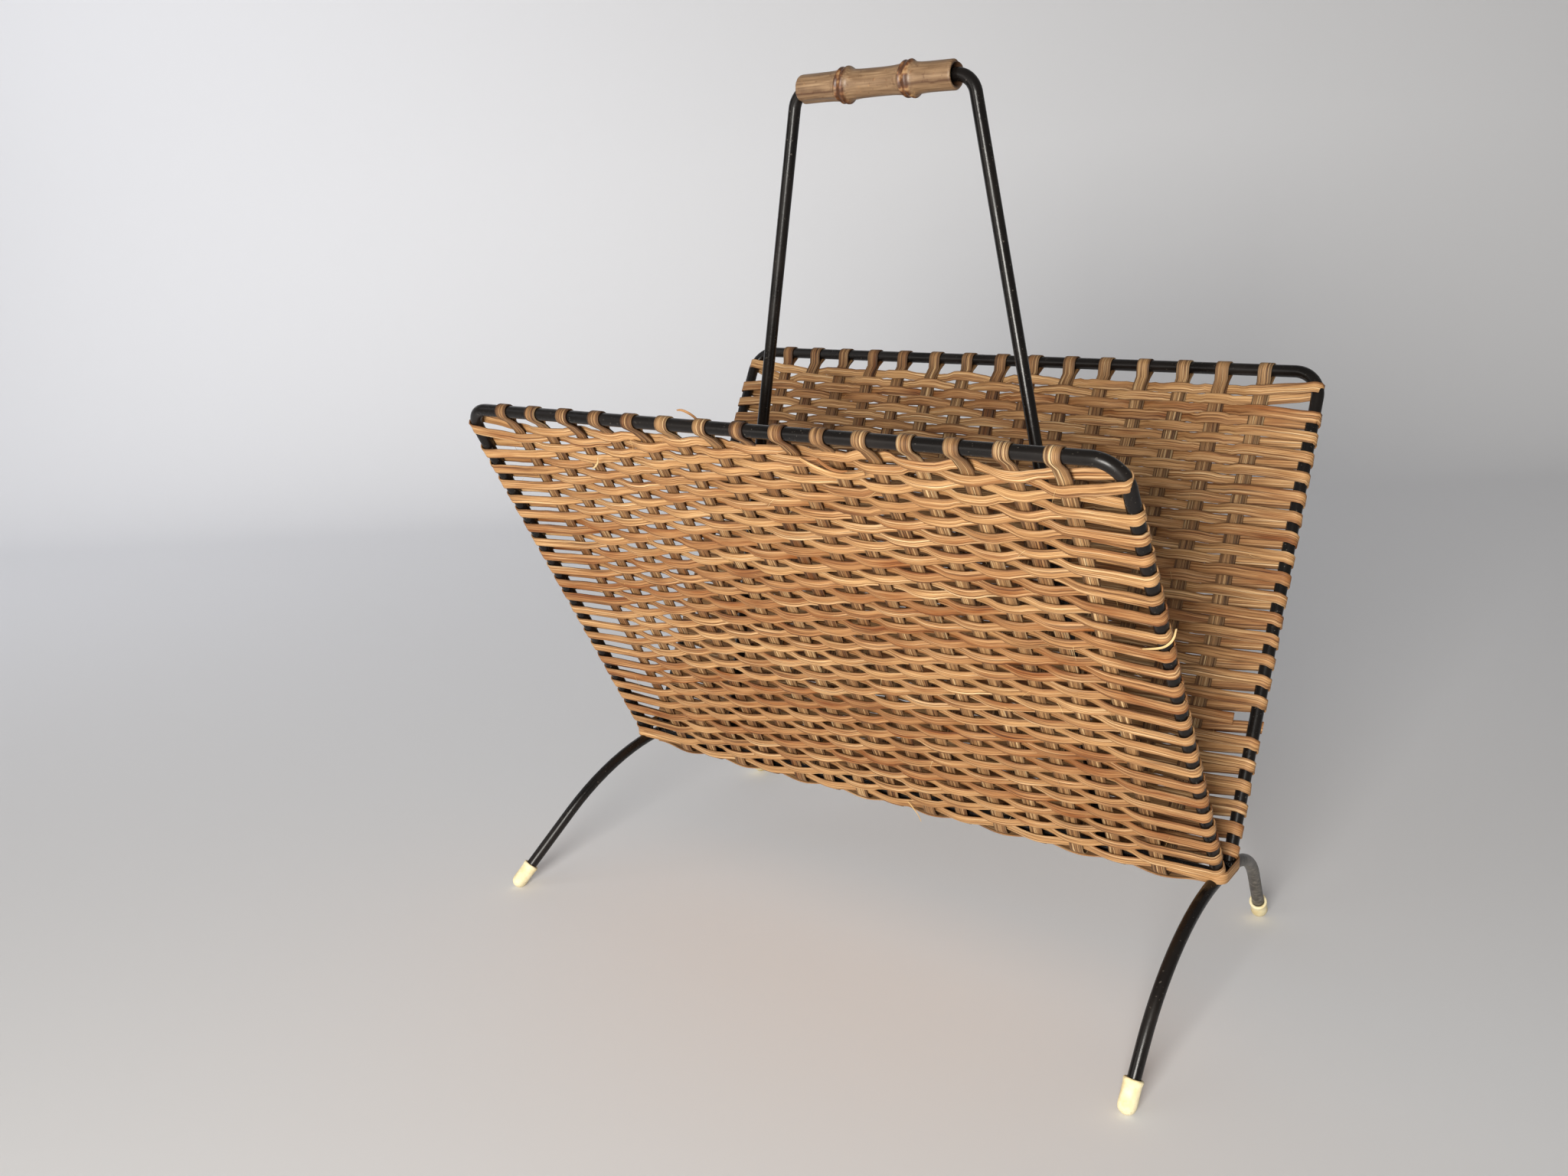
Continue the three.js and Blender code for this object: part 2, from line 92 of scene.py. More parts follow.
def beside_panel(out, up, way=1):
    """A point of the plane across the basket: out of the rear panel, up its slope, or its mirror image."""
    sine, cosine = math.sin(PANEL_LEAN), math.cos(PANEL_LEAN)
    y = (FOLD_RADIUS + out) * cosine + up * sine
    z = CREST_HEIGHT - (FOLD_RADIUS + out) * sine + up * cosine
    return Vector((0, way * y, z))


def panel_matrix(way):
    """Places what is drawn upright, with X along, Y out and Z up the slope, as the rear or front panel."""
    out = Vector((0, math.cos(PANEL_LEAN), -math.sin(PANEL_LEAN)))
    up = Vector((0, math.sin(PANEL_LEAN), math.cos(PANEL_LEAN)))
    placed = Matrix((Vector((1, 0, 0)), out, up)).transposed().to_4x4()
    placed.translation = beside_panel(0, 0)
    return placed if way > 0 else Matrix.Rotation(math.pi, 4, "Z") @ placed


def arc(centre, first, second, radius, start, end, step=ARC_STEP):
    """Points round an arc in the plane of two directions, both ends included."""
    steps = max(1, math.ceil(abs(end - start) / step))
    turns = [start + (end - start) * i / steps for i in range(steps + 1)]
    return [centre + radius * (first * math.cos(t) + second * math.sin(t)) for t in turns]


def bent_path(corners, bend_radius):
    """A path that runs straight from corner to corner and is bent round at the inner ones."""
    path = [corners[0]]
    for before, corner, after in zip(corners, corners[1:], corners[2:]):
        way_in, way_out = (corner - before).normalized(), (after - corner).normalized()
        turn = way_in.angle(way_out)
        inward = (way_out - way_in * math.cos(turn)).normalized()
        centre = corner - way_in * bend_radius * math.tan(turn / 2) + inward * bend_radius
        path += arc(centre, -inward, way_in, bend_radius, 0, turn)
    return path + [corners[-1]]


def path_object(name, paths):
    """Paths as an object of bare edges, for a tree to sweep."""
    points, edges = [], []
    for path in paths:
        edges += [(len(points) + i, len(points) + i + 1) for i in range(len(path) - 1)]
        points += path
    mesh = bpy.data.meshes.new(name)
    mesh.from_pydata(points, edges, [])
    made = bpy.data.objects.new(name, mesh)
    bpy.context.scene.collection.objects.link(made)
    return made


def set_inputs(node, inputs):
    """Sets a node's inputs. Each is a value, or a node or socket to link it from."""
    for key, value in inputs.items():
        if isinstance(value, bpy.types.Node):
            value = next(socket for socket in value.outputs if socket.enabled)
        if isinstance(value, bpy.types.NodeSocket):
            node.id_data.links.new(value, node.inputs[key])
        else:
            node.inputs[key].default_value = value


def add_node(tree, kind, inputs=None, stops=(), **settings):
    """Adds a node with its settings and inputs. Stops are a colour ramp's places and colours."""
    node = tree.nodes.new(kind)
    for setting, value in settings.items():
        setattr(node, setting, value)
    set_inputs(node, inputs or {})
    while stops and len(node.color_ramp.elements) < len(stops):
        node.color_ramp.elements.new(0.5)
    for i, (place, code) in enumerate(stops):
        node.color_ramp.elements[i].position = place
        node.color_ramp.elements[i].color = linear(code)
    return node


def new_tree(name, **sizes):
    """A Geometry Nodes tree with a geometry input and named ones, and the sockets that give them."""
    tree = bpy.data.node_groups.new(name, "GeometryNodeTree")
    tree.interface.new_socket("Geometry", in_out="INPUT", socket_type="NodeSocketGeometry")
    for size, kind in sizes.items():
        tree.interface.new_socket(size, in_out="INPUT", socket_type="NodeSocket" + kind)
    tree.interface.new_socket("Geometry", in_out="OUTPUT", socket_type="NodeSocketGeometry")
    return tree, tree.nodes.new("NodeGroupInput").outputs


def end_tree(tree, geometry, material):
    """Closes a tree: instances are made real, faces are smoothed and the material is set."""
    real = add_node(tree, "GeometryNodeRealizeInstances", {"Geometry": geometry})
    smooth = add_node(tree, "GeometryNodeSetShadeSmooth", {"Geometry": real})
    finished = add_node(tree, "GeometryNodeSetMaterial", {"Geometry": smooth, "Material": material})
    add_node(tree, "NodeGroupOutput", {"Geometry": finished})


def grow(source, tree, **sizes):
    """Runs a tree on an object with its inputs set, and returns the result as a plain mesh."""
    modifier = source.modifiers.new(tree.name, "NODES")
    modifier.node_group = tree
    for item in tree.interface.items_tree:
        if item.in_out == "INPUT" and item.name in sizes:
            modifier[item.identifier] = sizes[item.name]
    depsgraph = bpy.context.evaluated_depsgraph_get()
    evaluated = source.evaluated_get(depsgraph)
    mesh = bpy.data.meshes.new_from_object(evaluated, preserve_all_data_layers=True, depsgraph=depsgraph)
    bpy.data.objects.remove(source)
    return mesh


def place_piece(name, mesh, slot, *nodes, body="frame", turned=Matrix.Identity(4)):
    """Makes a mesh drawn in millimetres a piece of the basket, in place of its nodes."""
    to_model = Matrix.Scale(MM, 4) @ Matrix.Translation((rail_middle.x, rail_middle.y, 0))
    mesh.transform(to_model @ turned)
    piece = bpy.data.objects.new(name, mesh)
    bpy.context.scene.collection.objects.link(piece)
    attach(piece, body)
    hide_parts(*nodes)
    return piece


def linear(code):
    """An sRGB hex colour as linear light."""
    shares = [int(code[i : i + 2], 16) / 255 for i in (1, 3, 5)]
    return tuple(s / 12.92 if s <= 0.04045 else ((s + 0.055) / 1.055) ** 2.4 for s in shares) + (1,)


def new_material(name):
    """A material with its shader, and its node tree."""
    material = bpy.data.materials.new(name)
    material.use_nodes = True
    return material, material.node_tree, material.node_tree.nodes["Principled BSDF"]


# Brushed enamel on steel: near black, with brush drag, dust that dulls it in patches, and small
# chips. Where wear is 1 the gloss has gone and the rod is rubbed grey.
def enamel_material():
    brush_drag = 2.5 * MM
    dull_patch = 28 * MM
    chip = 1.6 * MM
    drag_depth = 0.12 * MM
    chip_share = 0.35
    rubbed_roughness = 0.3
    coat_tones = [(0.35, "#0C0A09"), (0.6, "#15110F"), (0.8, "#221D1A")]
    rubbed_tones = [(0.3, "#3E3833"), (0.7, "#8A8378")]
    material, tree, shader = new_material("black_brushed_enamel")
    place = add_node(tree, "ShaderNodeTexCoord").outputs["Object"]
    wear = add_node(tree, "ShaderNodeAttribute", attribute_name="wear").outputs["Fac"]
    drag = add_node(tree, "ShaderNodeTexNoise", {"Vector": place, "Scale": 1 / brush_drag, "Detail": 3.0})
    patch = add_node(tree, "ShaderNodeTexNoise", {"Vector": place, "Scale": 1 / dull_patch, "Detail": 4.0})
    chips = add_node(tree, "ShaderNodeTexNoise", {"Vector": place, "Scale": 1 / chip, "Detail": 2.0})
    coat = add_node(tree, "ShaderNodeValToRGB", {"Fac": patch}, coat_tones)
    rubbed = add_node(tree, "ShaderNodeValToRGB", {"Fac": drag}, rubbed_tones)
    spots = add_node(tree, "ShaderNodeMapRange", {"Value": chips, "From Min": 0.68, "From Max": 0.72})
    grey = add_node(tree, "ShaderNodeMath", {0: spots, 1: chip_share}, operation="MULTIPLY")
    rub = add_node(tree, "ShaderNodeMath", {0: wear, 1: drag}, operation="MULTIPLY")
    bare = add_node(tree, "ShaderNodeMath", {0: grey, 1: rub}, operation="ADD", use_clamp=True)
    colour = add_node(tree, "ShaderNodeMix", {0: bare, 6: coat, 7: rubbed}, data_type="RGBA")
    gloss = add_node(
        tree,
        "ShaderNodeMapRange",
        {"Value": patch, "From Min": 0.3, "From Max": 0.8, "To Min": 0.2, "To Max": 0.4},
    )
    dull = add_node(
        tree, "ShaderNodeMath", {0: bare, 1: rubbed_roughness, 2: gloss}, operation="MULTIPLY_ADD"
    )
    bump = add_node(tree, "ShaderNodeBump", {"Height": drag, "Strength": 0.5, "Distance": drag_depth})
    set_inputs(shader, {"Base Color": colour, "Roughness": dull, "Normal": bump, "IOR": 1.38})
    return material


def rod_tree():
    """Sweeps a round rod along each path, with closed ends."""
    tree, given = new_tree("swept_rod", Radius="Float", Sides="Int", Material="Material")
    curve = add_node(tree, "GeometryNodeMeshToCurve", {"Mesh": given["Geometry"]})
    section = add_node(
        tree, "GeometryNodeCurvePrimitiveCircle", {"Resolution": given["Sides"], "Radius": given["Radius"]}
    )
    swept = add_node(
        tree, "GeometryNodeCurveToMesh", {"Curve": curve, "Profile Curve": section, "Fill Caps": True}
    )
    end_tree(tree, swept, given["Material"])
    return tree


black_enamel = enamel_material()
swept_rod = rod_tree()
ROD_SIDES = 28


def hoop_path():
    """One hoop, drawn upright."""
    corners = [
        Vector((-HOOP_FOOT_LENGTH / 2, 0, HOOP_FOOT_UP)),
        Vector((-HOOP_TOP_LENGTH / 2, 0, PANEL_LENGTH)),
        Vector((HOOP_TOP_LENGTH / 2, 0, PANEL_LENGTH)),
        Vector((HOOP_FOOT_LENGTH / 2, 0, HOOP_FOOT_UP)),
    ]
    return bent_path(corners, HOOP_CORNER_RADIUS)


def rod_mesh(name, path):
    """A rod along a path."""
    source = path_object(name, [path])
    return grow(source, swept_rod, Radius=ROD_RADIUS, Sides=ROD_SIDES, Material=black_enamel)


for way, hoop_name in ((1, "rear_hoop"), (-1, "front_hoop")):
    mesh = rod_mesh(hoop_name, hoop_path())
    place_piece("bent_" + hoop_name, mesh, "black_enamel", hoop_name, turned=panel_matrix(way))

# The leg arches
# Each is one rod bent over a crest into two legs. Years of being pushed about have left the four
# feet standing a little differently, and the rear right leg rubbed grey.
ARCH_SPACING = HOOP_FOOT_LENGTH - 3
LEG_BEND_RADIUS = 97
LEG_REACH = 112.5
CAP_RADIUS = 4.9
CAP_WORN = 0.8
FULLY_RUBBED = 0.25
LEGS = {
    "front_left": {"side": -1, "way": -1, "lean": 35.5},
    "front_right": {"side": 1, "way": -1, "lean": -4, "crest_flat": 11},
    "rear_left": {"side": -1, "way": 1, "lean": 10, "reach": 132},
    "rear_right": {"side": 1, "way": 1, "lean": -12},
}


def leg_path(side, way, lean, crest_flat=0, reach=LEG_REACH):
    """A leg from the crest to the middle of its cap's round end, and the way up from its foot."""
    centre = Vector((crest_flat, CREST_HEIGHT - LEG_BEND_RADIUS, 0))
    foot = Vector((reach, 0, 0))
    to_foot = foot - centre
    end = math.atan2(to_foot.y, to_foot.x) + math.acos(LEG_BEND_RADIUS / to_foot.length)
    across, high = Vector((1, 0, 0)), Vector((0, 1, 0))
    flat = arc(centre, across, high, LEG_BEND_RADIUS, math.pi / 2, end) + [foot]
    placed = []
    for point in flat:
        fall = (CREST_HEIGHT - point.y) / CREST_HEIGHT
        placed.append(Vector((side * (ARCH_SPACING / 2 + lean * fall), way * point.x, point.y)))
    up = (placed[-2] - placed[-1]).normalized()
    placed[-1] = placed[-1] + up * (CAP_RADIUS - CAP_WORN) / up.z
    return placed, up


for side in ("left", "right"):
    front_leg = leg_path(**LEGS["front_" + side])[0]
    rear_leg = leg_path(**LEGS["rear_" + side])[0]
    # Two legs without a flat crest start from the same point, which is then kept once.
    shared = (front_leg[0] - rear_leg[0]).length < TOUCH_GAP
    mesh = rod_mesh(side + "_arch", front_leg[::-1] + rear_leg[shared:])
    if side == "right":
        wear = mesh.attributes.new("wear", "FLOAT", "POINT")
        for vertex in mesh.vertices:
            past_crest = (vertex.co.y - ROD_RADIUS) / LEG_REACH
            wear.data[vertex.index].value = min(1, max(0, past_crest / FULLY_RUBBED))
    node = side + "_leg_arch"
    place_piece("bent_" + node, mesh, "black_enamel", node)

# The bottom rail and the handle
# The rail is a straight rod that butts against both arches under the V. The handle is a
# trapezoid of the same rod that stands on the rail and carries the grip.
HANDLE_TOP_HEIGHT = 495.8
HANDLE_TOP_LENGTH = 111.8
HANDLE_FOOT_LENGTH = 269
HANDLE_BEND_RADIUS = 12
rail_half = ARCH_SPACING / 2 - ROD_RADIUS
rail_path = [Vector((-rail_half, 0, CREST_HEIGHT)), Vector((rail_half, 0, CREST_HEIGHT))]
mesh = rod_mesh("rail", rail_path)
place_piece("straight_bottom_rail", mesh, "black_enamel", "bottom_rail")
handle_foot = CREST_HEIGHT + ROD_RADIUS
handle_corners = [
    Vector((-HANDLE_FOOT_LENGTH / 2, 0, handle_foot)),
    Vector((-HANDLE_TOP_LENGTH / 2, 0, HANDLE_TOP_HEIGHT)),
    Vector((HANDLE_TOP_LENGTH / 2, 0, HANDLE_TOP_HEIGHT)),
    Vector((HANDLE_FOOT_LENGTH / 2, 0, handle_foot)),
]
mesh = rod_mesh("handle", bent_path(handle_corners, HANDLE_BEND_RADIUS))
place_piece("bent_handle", mesh, "black_enamel", "handle_rod")


# The welds
# Small gas-weld beads hold the hoops to the arches, the rail between them and the handle on the
# rail. They are painted over with the same enamel.
def weld_tree():
    """Sets overlapping drops of weld metal round each path, each a little different."""
    tree, given = new_tree("weld_bead", Drop="Float", Spacing="Float", Seed="Int", Material="Material")
    curve = add_node(tree, "GeometryNodeMeshToCurve", {"Mesh": given["Geometry"]})
    spacing = {"Curve": curve, "Length": given["Spacing"]}
    points = add_node(tree, "GeometryNodeCurveToPoints", spacing, mode="LENGTH")
    drop = add_node(tree, "GeometryNodeMeshIcoSphere", {"Radius": given["Drop"], "Subdivisions": 2})
    size = add_node(tree, "FunctionNodeRandomValue", {2: 0.8, 3: 1.25, "Seed": given["Seed"]})
    beads = add_node(
        tree, "GeometryNodeInstanceOnPoints", {"Points": points, "Instance": drop, "Scale": size}
    )
    end_tree(tree, beads, given["Material"])
    return tree


BEAD_DROP = 1.3
rings = []
along, high, across = Vector((1, 0, 0)), Vector((0, 0, 1)), Vector((0, 1, 0))
for side in (-1, 1):
    rings.append(arc(Vector((side * rail_half, 0, CREST_HEIGHT)), across, high, ROD_RADIUS, 0, 2 * math.pi))
    foot = Vector((side * HANDLE_FOOT_LENGTH / 2, 0, handle_foot))
    rings.append(arc(foot, along, across, ROD_RADIUS, 0, 2 * math.pi))
    for way in (-1, 1):
        foot = beside_panel(0, HOOP_FOOT_UP, way)
        foot.x = side * HOOP_FOOT_LENGTH / 2
        rings.append(arc(foot, along, across, ROD_RADIUS, 0, 2 * math.pi))
weld_sizes = {"Drop": BEAD_DROP, "Spacing": 1.1 * BEAD_DROP, "Seed": 4, "Material": black_enamel}
mesh = grow(path_object("welds", rings), weld_tree(), **weld_sizes)
place_piece("weld_beads", mesh, "black_enamel")

# The rubber tips
# Four slip-on tips of natural cream rubber, moulded with a domed end and a thicker lip at the
# mouth. They have yellowed, picked up dirt low down and worn flat where they stand.
CAP_LENGTH = 18
CAP_LIP_RADIUS = 5.2
CAP_LIP_LENGTH = 3
CAP_LIP_ROUND = 0.6
CAP_MOUTH_BEVEL = 0.4
CAP_ROD_GAP = 0.05
CAP_WAIST = 0.985 * CAP_RADIUS
CAP_LUMPS = 0.16
CAP_LUMP_RATE = 0.35
CAP_SIDES = 40
CAP_DOME_STEPS = 8


def lathe(profile, sides):
    """A closed mesh of rings round Z, from radii and heights. A radius of 0 closes it at a pole."""
    points, faces, rings = [], [], []
    for radius, height in profile:
        count = sides if radius > 0 else 1
        rings.append(range(len(points), len(points) + count))
        for i in range(count):
            turn = 2 * math.pi * i / sides
            points.append((radius * math.cos(turn), radius * math.sin(turn), height))
    for low, high_ring in zip(rings, rings[1:]):
        for i in range(sides):
            corners = [low[i % len(low)], low[(i + 1) % len(low)]]
            corners += [high_ring[(i + 1) % len(high_ring)], high_ring[i % len(high_ring)]]
            faces.append(list(dict.fromkeys(corners)))
    mesh = bpy.data.meshes.new("lathed")
    mesh.from_pydata(points, [], faces)
    mesh.shade_smooth()
    return mesh


# Old natural rubber: matt, cream going to amber in patches, with grey dirt rubbed in low down
# and fine grime in its pores.
def rubber_material():
    patch = 7 * MM
    pore = 0.7 * MM
    pore_depth = 0.15 * MM
    dirt_height = 6 * MM
    speck_share = 0.35
    aged_tones = [(0.3, "#D9C58F"), (0.5, "#E9DCB2"), (0.7, "#F1E7C4")]
    material, tree, shader = new_material("cream_moulded_rubber")
    place = add_node(tree, "ShaderNodeTexCoord").outputs["Object"]
    cloud = add_node(tree, "ShaderNodeTexNoise", {"Vector": place, "Scale": 1 / patch, "Detail": 4.0})
    pores = add_node(tree, "ShaderNodeTexNoise", {"Vector": place, "Scale": 1 / pore, "Detail": 3.0})
    height = add_node(tree, "ShaderNodeSeparateXYZ", {"Vector": place}).outputs["Z"]
    aged = add_node(tree, "ShaderNodeValToRGB", {"Fac": cloud}, aged_tones)
    low = add_node(
        tree,
        "ShaderNodeMapRange",
        {"Value": height, "From Max": dirt_height, "To Min": 0.75, "To Max": 0.0},
    )
    grime = add_node(tree, "ShaderNodeMath", {0: low, 1: pores}, operation="MULTIPLY")
    specks = add_node(tree, "ShaderNodeMapRange", {"Value": pores, "From Min": 0.62, "From Max": 0.75})
    speckled = add_node(
        tree, "ShaderNodeMath", {0: specks, 1: speck_share, 2: grime}, operation="MULTIPLY_ADD"
    )
    colour = add_node(tree, "ShaderNodeMix", {0: speckled, 6: aged, 7: linear("#6E5F49")}, data_type="RGBA")
    rough = add_node(tree, "ShaderNodeMapRange", {"Value": cloud, "To Min": 0.5, "To Max": 0.75})
    bump = add_node(tree, "ShaderNodeBump", {"Height": pores, "Strength": 0.6, "Distance": pore_depth})
    set_inputs(shader, {"Base Color": colour, "Roughness": rough, "Normal": bump, "IOR": 1.52})
    return material


def cap_mesh():
    """A tip stood on end, with the middle of its dome at the origin."""
    mouth = CAP_LENGTH - CAP_RADIUS
    profile = [(0, -CAP_RADIUS)]
    for i in range(1, CAP_DOME_STEPS + 1):
        turn = math.radians(90 * i / CAP_DOME_STEPS)
        profile.append((CAP_RADIUS * math.sin(turn), -CAP_RADIUS * math.cos(turn)))
    rod_face = ROD_RADIUS + CAP_ROD_GAP
    profile += [
        (CAP_WAIST, 0.4 * mouth),
        (CAP_WAIST, mouth - CAP_LIP_LENGTH),
        (CAP_LIP_RADIUS - CAP_LIP_ROUND / 6, mouth - CAP_LIP_LENGTH * 2 / 3),
        (CAP_LIP_RADIUS, mouth - CAP_LIP_LENGTH / 3),
        (CAP_LIP_RADIUS - CAP_LIP_ROUND / 4, mouth - CAP_LIP_ROUND / 2),
        (CAP_LIP_RADIUS - CAP_LIP_ROUND, mouth),
        (rod_face + CAP_MOUTH_BEVEL, mouth),
        (rod_face, mouth - CAP_MOUTH_BEVEL),
        (rod_face, 0),
        (0, -CAP_LIP_ROUND / 2),
    ]
    return lathe(profile, CAP_SIDES)


cream_rubber = rubber_material()
for place, leg in LEGS.items():
    path, up = leg_path(**leg)
    mesh = cap_mesh()
    mesh.transform(Matrix.Translation(path[-1]) @ up.to_track_quat("Z", "Y").to_matrix().to_4x4())
    for vertex in mesh.vertices:
        lumps = noise.noise(vertex.co * CAP_LUMP_RATE) * CAP_LUMPS
        vertex.co += vertex.normal * lumps
        vertex.co.z = max(0, vertex.co.z)
    mesh.materials.append(cream_rubber)
    place_piece("rubber_tip_" + place, mesh, "cream_rubber", "foot_cap_" + place)

# The grip
# A length of thin bamboo with two nodes, bored through and threaded on the handle before its last
# bend, where it turns loosely. The skin is sanded and varnished, and the nodes are scorched brown.
GRIP_LEFT = -51.5
GRIP_RIGHT = 46.5
GRIP_RADIUS = 7.9
GRIP_BORE_RADIUS = 6
WAIST_RADIUS = 7.4
NODE_PLACES = (-22, 19)
NODE_RING_RADIUS = 10.1
NODE_SWELL_RADIUS = 8.7
NODE_SWELL_LENGTH = 5.5
NODE_SKEW = 0.7
NODE_RIPPLE = 0.25
RING_PLACE = 1.8
RING_LENGTH = 1.7
SCAR_PLACE = -2.3
SCAR_LENGTH = 1.1
SCAR_SHARE = 0.8
SCAR_GROOVE_PLACE = -3.9
SCAR_GROOVE_LENGTH = 0.4
SCAR_GROOVE_DEPTH = 0.45
BRANCH_GROOVE_DEPTH = 0.9
BRANCH_GROOVE_HALF_TURN = 0.32
LEFT_GROOVE = math.radians(250)
RIGHT_GROOVE = math.radians(70)
CUT_ROUND = 0.6
CUT_ROUND_LENGTH = 0.35
CUT_RAGGED = 0.25
CUT_RAGGED_ROUND = 3
GRIP_LUMPS = 0.22
LUMPS_ALONG = 0.05
LUMPS_ROUND = 1.4
BORE_BEVEL = 0.4
BORE_OVAL = 0.3
BORE_STATIONS = (GRIP_RIGHT - 20, GRIP_LEFT + 31.5)
GRIP_SIDES = 96
GRIP_STEP = 0.5


def hump(distance, length):
    """A smooth hump, 1 at no distance and gone at about twice its length."""
    return math.exp(-((distance / length) ** 2))


def grip_radius(x, turn):
    """The bamboo's outer radius along it and round it."""
    inner = NODE_PLACES[0] < x < NODE_PLACES[1]
    radius = GRIP_RADIUS
    if inner:
        share = (x - NODE_PLACES[0]) / (NODE_PLACES[1] - NODE_PLACES[0])
        radius += (WAIST_RADIUS - GRIP_RADIUS) * math.sin(math.pi * share)
    for i, node_place in enumerate(NODE_PLACES):
        # A node's ring runs round a little askew, with a scar ridge and a groove beside it.
        skewed = x - node_place - NODE_SKEW * math.sin(turn + 2 * i) - NODE_RIPPLE * math.sin(3 * turn + i)
        ring_rise = NODE_RING_RADIUS - NODE_SWELL_RADIUS
        radius += (NODE_SWELL_RADIUS - GRIP_RADIUS) * hump(skewed, NODE_SWELL_LENGTH)
        radius += ring_rise * SCAR_SHARE * hump(skewed - SCAR_PLACE, SCAR_LENGTH)
        radius += ring_rise * hump(skewed - RING_PLACE, RING_LENGTH)
        radius -= SCAR_GROOVE_DEPTH * hump(skewed - SCAR_GROOVE_PLACE, SCAR_GROOVE_LENGTH)
    if not inner:
        # A branch left a flat groove along each end length, on opposite sides.
        groove = LEFT_GROOVE if x < 0 else RIGHT_GROOVE
        away = (turn - groove + math.pi) % (2 * math.pi) - math.pi
        radius -= BRANCH_GROOVE_DEPTH * hump(away, BRANCH_GROOVE_HALF_TURN)
    rough_cut = min(x - GRIP_LEFT, GRIP_RIGHT - x)
    radius -= CUT_ROUND * math.exp(-rough_cut / CUT_ROUND_LENGTH)
    lumps = noise.noise(
        Vector((x * LUMPS_ALONG, LUMPS_ROUND * math.cos(turn), LUMPS_ROUND * math.sin(turn)))
    )
    return radius + GRIP_LUMPS * lumps


def grip_mesh():
    """The bamboo from its left mouth over the skin to its right mouth and back through the bore."""
    steps = round((GRIP_RIGHT - GRIP_LEFT) / GRIP_STEP)
    stations = [GRIP_LEFT + (GRIP_RIGHT - GRIP_LEFT) * i / steps for i in range(steps + 1)]
    inside = [(GRIP_RIGHT, BORE_BEVEL), (GRIP_RIGHT - BORE_BEVEL, 0)]
    inside += [(x, 0) for x in BORE_STATIONS]
    inside += [(GRIP_LEFT + BORE_BEVEL, 0), (GRIP_LEFT, BORE_BEVEL)]
    points, depths = [], []
    for x in stations:
        for j in range(GRIP_SIDES):
            turn = 2 * math.pi * j / GRIP_SIDES
            radius = grip_radius(x, turn)
            around = Vector((CUT_RAGGED_ROUND * math.cos(turn), CUT_RAGGED_ROUND * math.sin(turn), x))
            ragged = CUT_RAGGED * noise.noise(around)
            end = x in (GRIP_LEFT, GRIP_RIGHT)
            points.append((x + ragged * end, radius * math.cos(turn), radius * math.sin(turn)))
            depths.append(0)
    for x, wider in inside:
        for j in range(GRIP_SIDES):
            turn = 2 * math.pi * j / GRIP_SIDES
            radius = GRIP_BORE_RADIUS + wider + BORE_OVAL * math.sin(2 * turn + 1)
            points.append((x, radius * math.cos(turn), radius * math.sin(turn)))
            depths.append(1)
    rings = len(points) // GRIP_SIDES
    faces = []
    for i in range(rings):
        for j in range(GRIP_SIDES):
            next_j, next_i = (j + 1) % GRIP_SIDES, (i + 1) % rings
            corners = [(next_i, j), (next_i, next_j), (i, next_j), (i, j)]
            faces.append([ring * GRIP_SIDES + side for ring, side in corners])
    mesh = bpy.data.meshes.new("grip")
    mesh.from_pydata(points, [], faces)
    mesh.shade_smooth()
    bore = mesh.attributes.new("bore", "FLOAT", "POINT")
    bore.data.foreach_set("value", [float(d) for d in depths])
    mesh.transform(Matrix.Translation((0, 0, HANDLE_TOP_HEIGHT)))
    return mesh


